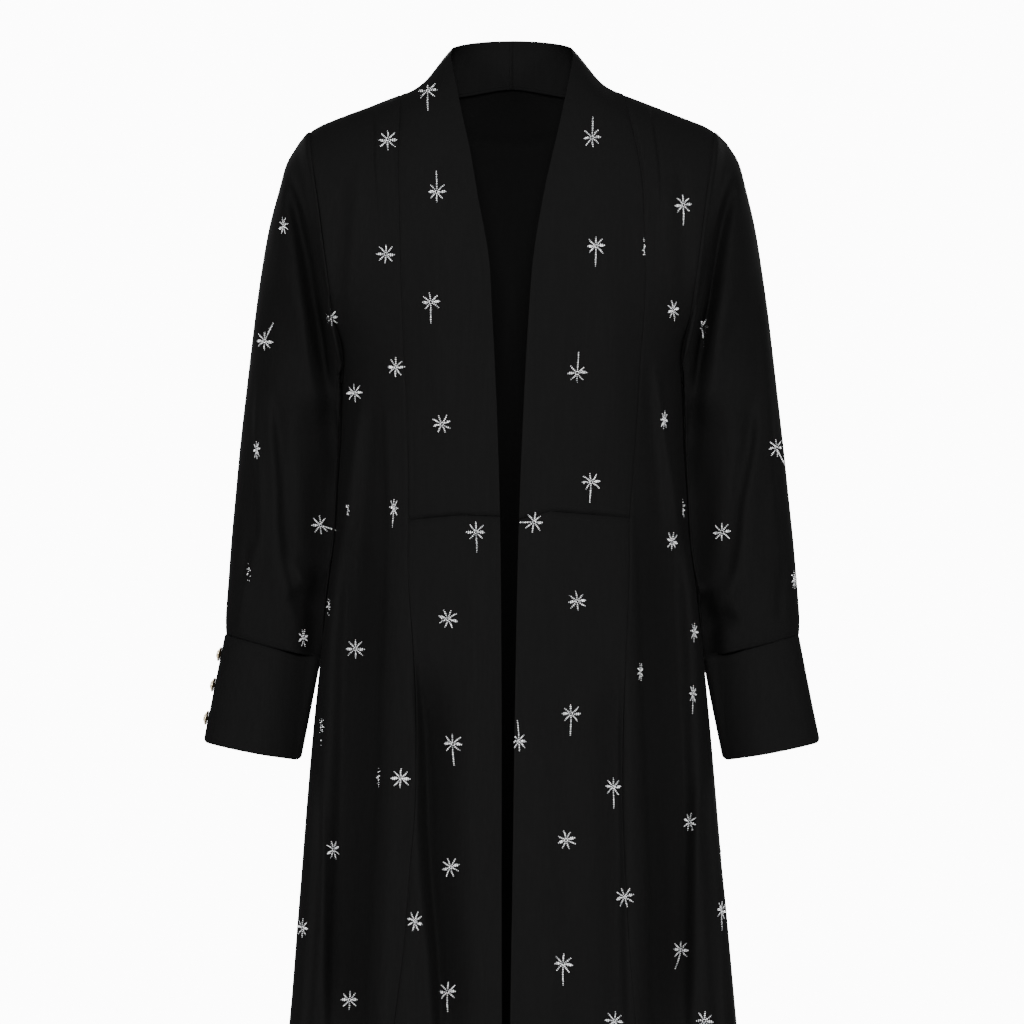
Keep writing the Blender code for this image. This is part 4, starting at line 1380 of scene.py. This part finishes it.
def motif_beads(stem, rng):
    """Places of a motif's beads in its own plane, each with its row's direction and size."""
    beads = []
    tilt = rng.uniform(-STAR_TILT, STAR_TILT) if stem is None else rng.uniform(-PALM_TILT, PALM_TILT)
    for petal in range(PETALS):
        degrees = PETAL_STEP * petal + tilt + rng.uniform(-PETAL_TILT, PETAL_TILT)
        leaf = petal % LEAF_EVERY == 0
        start = STAR_START * rng.uniform(*START_RANGE)
        length = (PETAL_REACH - LEAF_SHORTER * leaf) * rng.uniform(*LENGTH_RANGE)
        fullness = rng.uniform(*LEAF_FULLNESS) if leaf else rng.choice(PETAL_FULLNESS)
        if stem is not None and abs(turned_by(PETAL_STEP * petal, stem)) <= PETAL_STEP / 2:
            degrees, start, fullness = stem, STAR_START, 0.0
            length = STEM_REACH * rng.uniform(*STEM_RANGE)
        beads += petal_row(math.radians(degrees), length, start, fullness, rng)
    return beads


def sew_motif(name, place, normal, stem, rng, beads, seen_width=None):
    """Add a motif's beads to the list of the panel that carries it. A motif of the photograph is
    laid out in the picture, as wide as it shows there, and its hidden beads are left out."""
    up = Vector((0, 0, 1))
    if seen_width is None:
        up = (up - normal * up.dot(normal)).normalized()
    right = Vector((1, 0, 0)) if seen_width else up.cross(normal)
    camera = camera_place()
    sewn = []
    for across, high, angle, scale in motif_beads(stem, rng):
        target = place + right * across * (seen_width or 1) + up * high
        if seen_width:
            found = hit(camera, (target - camera).normalized())
            near, facing = found[1:] if found else (None, None)
        else:
            lifted = target + normal * MOTIF_LIFT
            near, facing, _, _ = surfaces[name].ray_cast(lifted, -normal, 2 * MOTIF_LIFT)
        reach = SEEN_REACH if seen_width else UNSEEN_REACH
        if near is None or (near - place).length > REACH_SLACK + reach * math.hypot(across, high):
            continue
        if any((near - other).length < scale * BEAD_RADIUS for other in sewn):
            continue
        if seen_width and seen_width < NEARLY_HIDDEN and rng.random() < HIDDEN_SHARE:
            continue
        sewn.append(near)
        if facing.dot(normal) < 0:
            facing = -facing
        row = right * math.cos(angle) + up * math.sin(angle)
        row = (row - facing * row.dot(facing)).normalized()
        shown = SIDEWAYS_BEAD + (1 - SIDEWAYS_BEAD) * (seen_width or 1)
        size = BEAD_RADIUS * scale * rng.uniform(*BEAD_RANGE) * shown
        beads.setdefault(name, []).append((near + facing * size * BEAD_REST, row, facing, size))


def beaded(beads, name):
    """All beads of a panel as one mesh."""
    template, faces = bead_template()
    count = len(template)
    points = []
    corners = []
    for index, (place, row, facing, size) in enumerate(beads):
        side = facing.cross(row)
        axes = np.array((row, side, facing))
        points.append(np.array(place) + (template * size) @ axes)
        corners += [tuple(corner + index * count for corner in face) for face in faces]
    piece = mesh_piece(name, np.concatenate(points).tolist(), corners, silver)
    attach(piece, "root")


def make_beading():
    """Motifs where the photograph shows them, and an even scatter where it does not reach."""
    rng = random.Random(MOTIF_SEED)
    beads = {}
    start = camera_place()
    for across, down, stem, width in SEEN_MOTIFS:
        target = Vector(((across - ZERO_COLUMN) * PIXEL, 0, (ZERO_ROW - down) * PIXEL))
        found = hit(start, (target - start).normalized())
        if found:
            sew_motif(*found, stem, rng, beads, width)
    step_x, step_z = HIDDEN_SPACING
    lowest_seen = (ZERO_ROW - FRAME_PIXELS) * PIXEL
    for facing, z in ((-1, lowest_seen - FRAME_MARGIN), (1, BACK_TOP_Z)):
        row = 0
        while z > HEM_Z + HEM_MARGIN:
            for column_number in HIDDEN_COLUMNS:
                x = (column_number + 0.5 * (row % 2)) * step_x + rng.uniform(-1, 1) * HIDDEN_JITTER
                high = z + rng.uniform(-1, 1) * HIDDEN_JITTER
                stem = rng.choice(HIDDEN_STEMS) if rng.random() < HIDDEN_STEM_SHARE else None
                found = hit(Vector((x, facing * CAMERA_AWAY, high)), Vector((0, -facing, 0)))
                if found is None or (facing < 0 and found[0] == "back_panel"):
                    continue
                if abs(found[2].y) > HIDDEN_FACING and not found[0].startswith("wrist"):
                    sew_motif(*found, stem, rng, beads)
            row += 1
            z -= step_z
    for name, placed in beads.items():
        beaded(placed, "beads_" + name)


def make_floor():
    """Pale round floor."""
    rim = []
    for step in range(FLOOR_SIDES):
        turn = 2 * math.pi * step / FLOOR_SIDES
        rim.append((FLOOR_RADIUS * math.cos(turn), FLOOR_RADIUS * math.sin(turn), HEM_Z - FLOOR_DROP))
    made, nodes, links, shader = material("pale_paper")
    grain = stretched_noise(nodes, links, scale=40, stretch=(1, 1, 1), detail=3)
    colour = ramp(nodes, links, grain.outputs["Fac"], grey(0.92), grey(0.94))
    links.new(colour.outputs["Color"], shader.inputs["Base Color"])
    shader.inputs["Roughness"].default_value = 0.9
    backdrop = mesh_piece("backdrop", rim, [tuple(range(FLOOR_SIDES))], made, smooth=False)


def make_lights():
    """Soft square lights, each turned to its target."""
    for name, place, target, size, power in LIGHTS:
        lamp = bpy.data.lights.new(name, "AREA")
        lamp.shape = "SQUARE"
        lamp.size = size
        lamp.energy = power
        holder = linked(name, lamp)
        holder.location = place
        holder.rotation_mode = "QUATERNION"
        holder.rotation_quaternion = (Vector(target) - Vector(place)).to_track_quat("-Z", "Y")


def make_surroundings():
    """Dim light from all sides and a bright ground behind the cloak."""
    world = bpy.data.worlds.new("studio")
    world.use_nodes = True
    nodes, links = world.node_tree.nodes, world.node_tree.links
    sky = nodes["Background"]
    sky.inputs["Color"].default_value = (1, 1, 1, 1)
    direction = nodes.new("ShaderNodeTexCoord")
    behind = nodes.new("ShaderNodeVectorMath")
    behind.operation = "DOT_PRODUCT"
    behind.inputs[1].default_value = (0, 1, 0)
    glow = nodes.new("ShaderNodeMapRange")
    glow.interpolation_type = "SMOOTHSTEP"
    glow.inputs["From Min"].default_value = math.cos(math.radians(GROUND_EDGE[1]))
    glow.inputs["From Max"].default_value = math.cos(math.radians(GROUND_EDGE[0]))
    glow.inputs["To Min"].default_value = SKY_STRENGTH
    glow.inputs["To Max"].default_value = GROUND_STRENGTH
    links.new(direction.outputs["Generated"], behind.inputs[0])
    links.new(behind.outputs["Value"], glow.inputs["Value"])
    links.new(glow.outputs["Result"], sky.inputs["Strength"])
    bpy.context.scene.world = world


def make_camera():
    """Level camera that frames the cloak as the photograph does."""
    lens = bpy.data.cameras.new("camera")
    lens.sensor_width = SENSOR
    lens.lens = SENSOR * CAMERA_AWAY / (FRAME_PIXELS * PIXEL)
    camera = linked("camera", lens)
    camera.location = camera_place()
    camera.rotation_euler = (math.pi / 2, 0, 0)
    bpy.context.scene.camera = camera


make_cloth()
make_buttons()
make_beading()
make_floor()
make_lights()
make_surroundings()
make_camera()
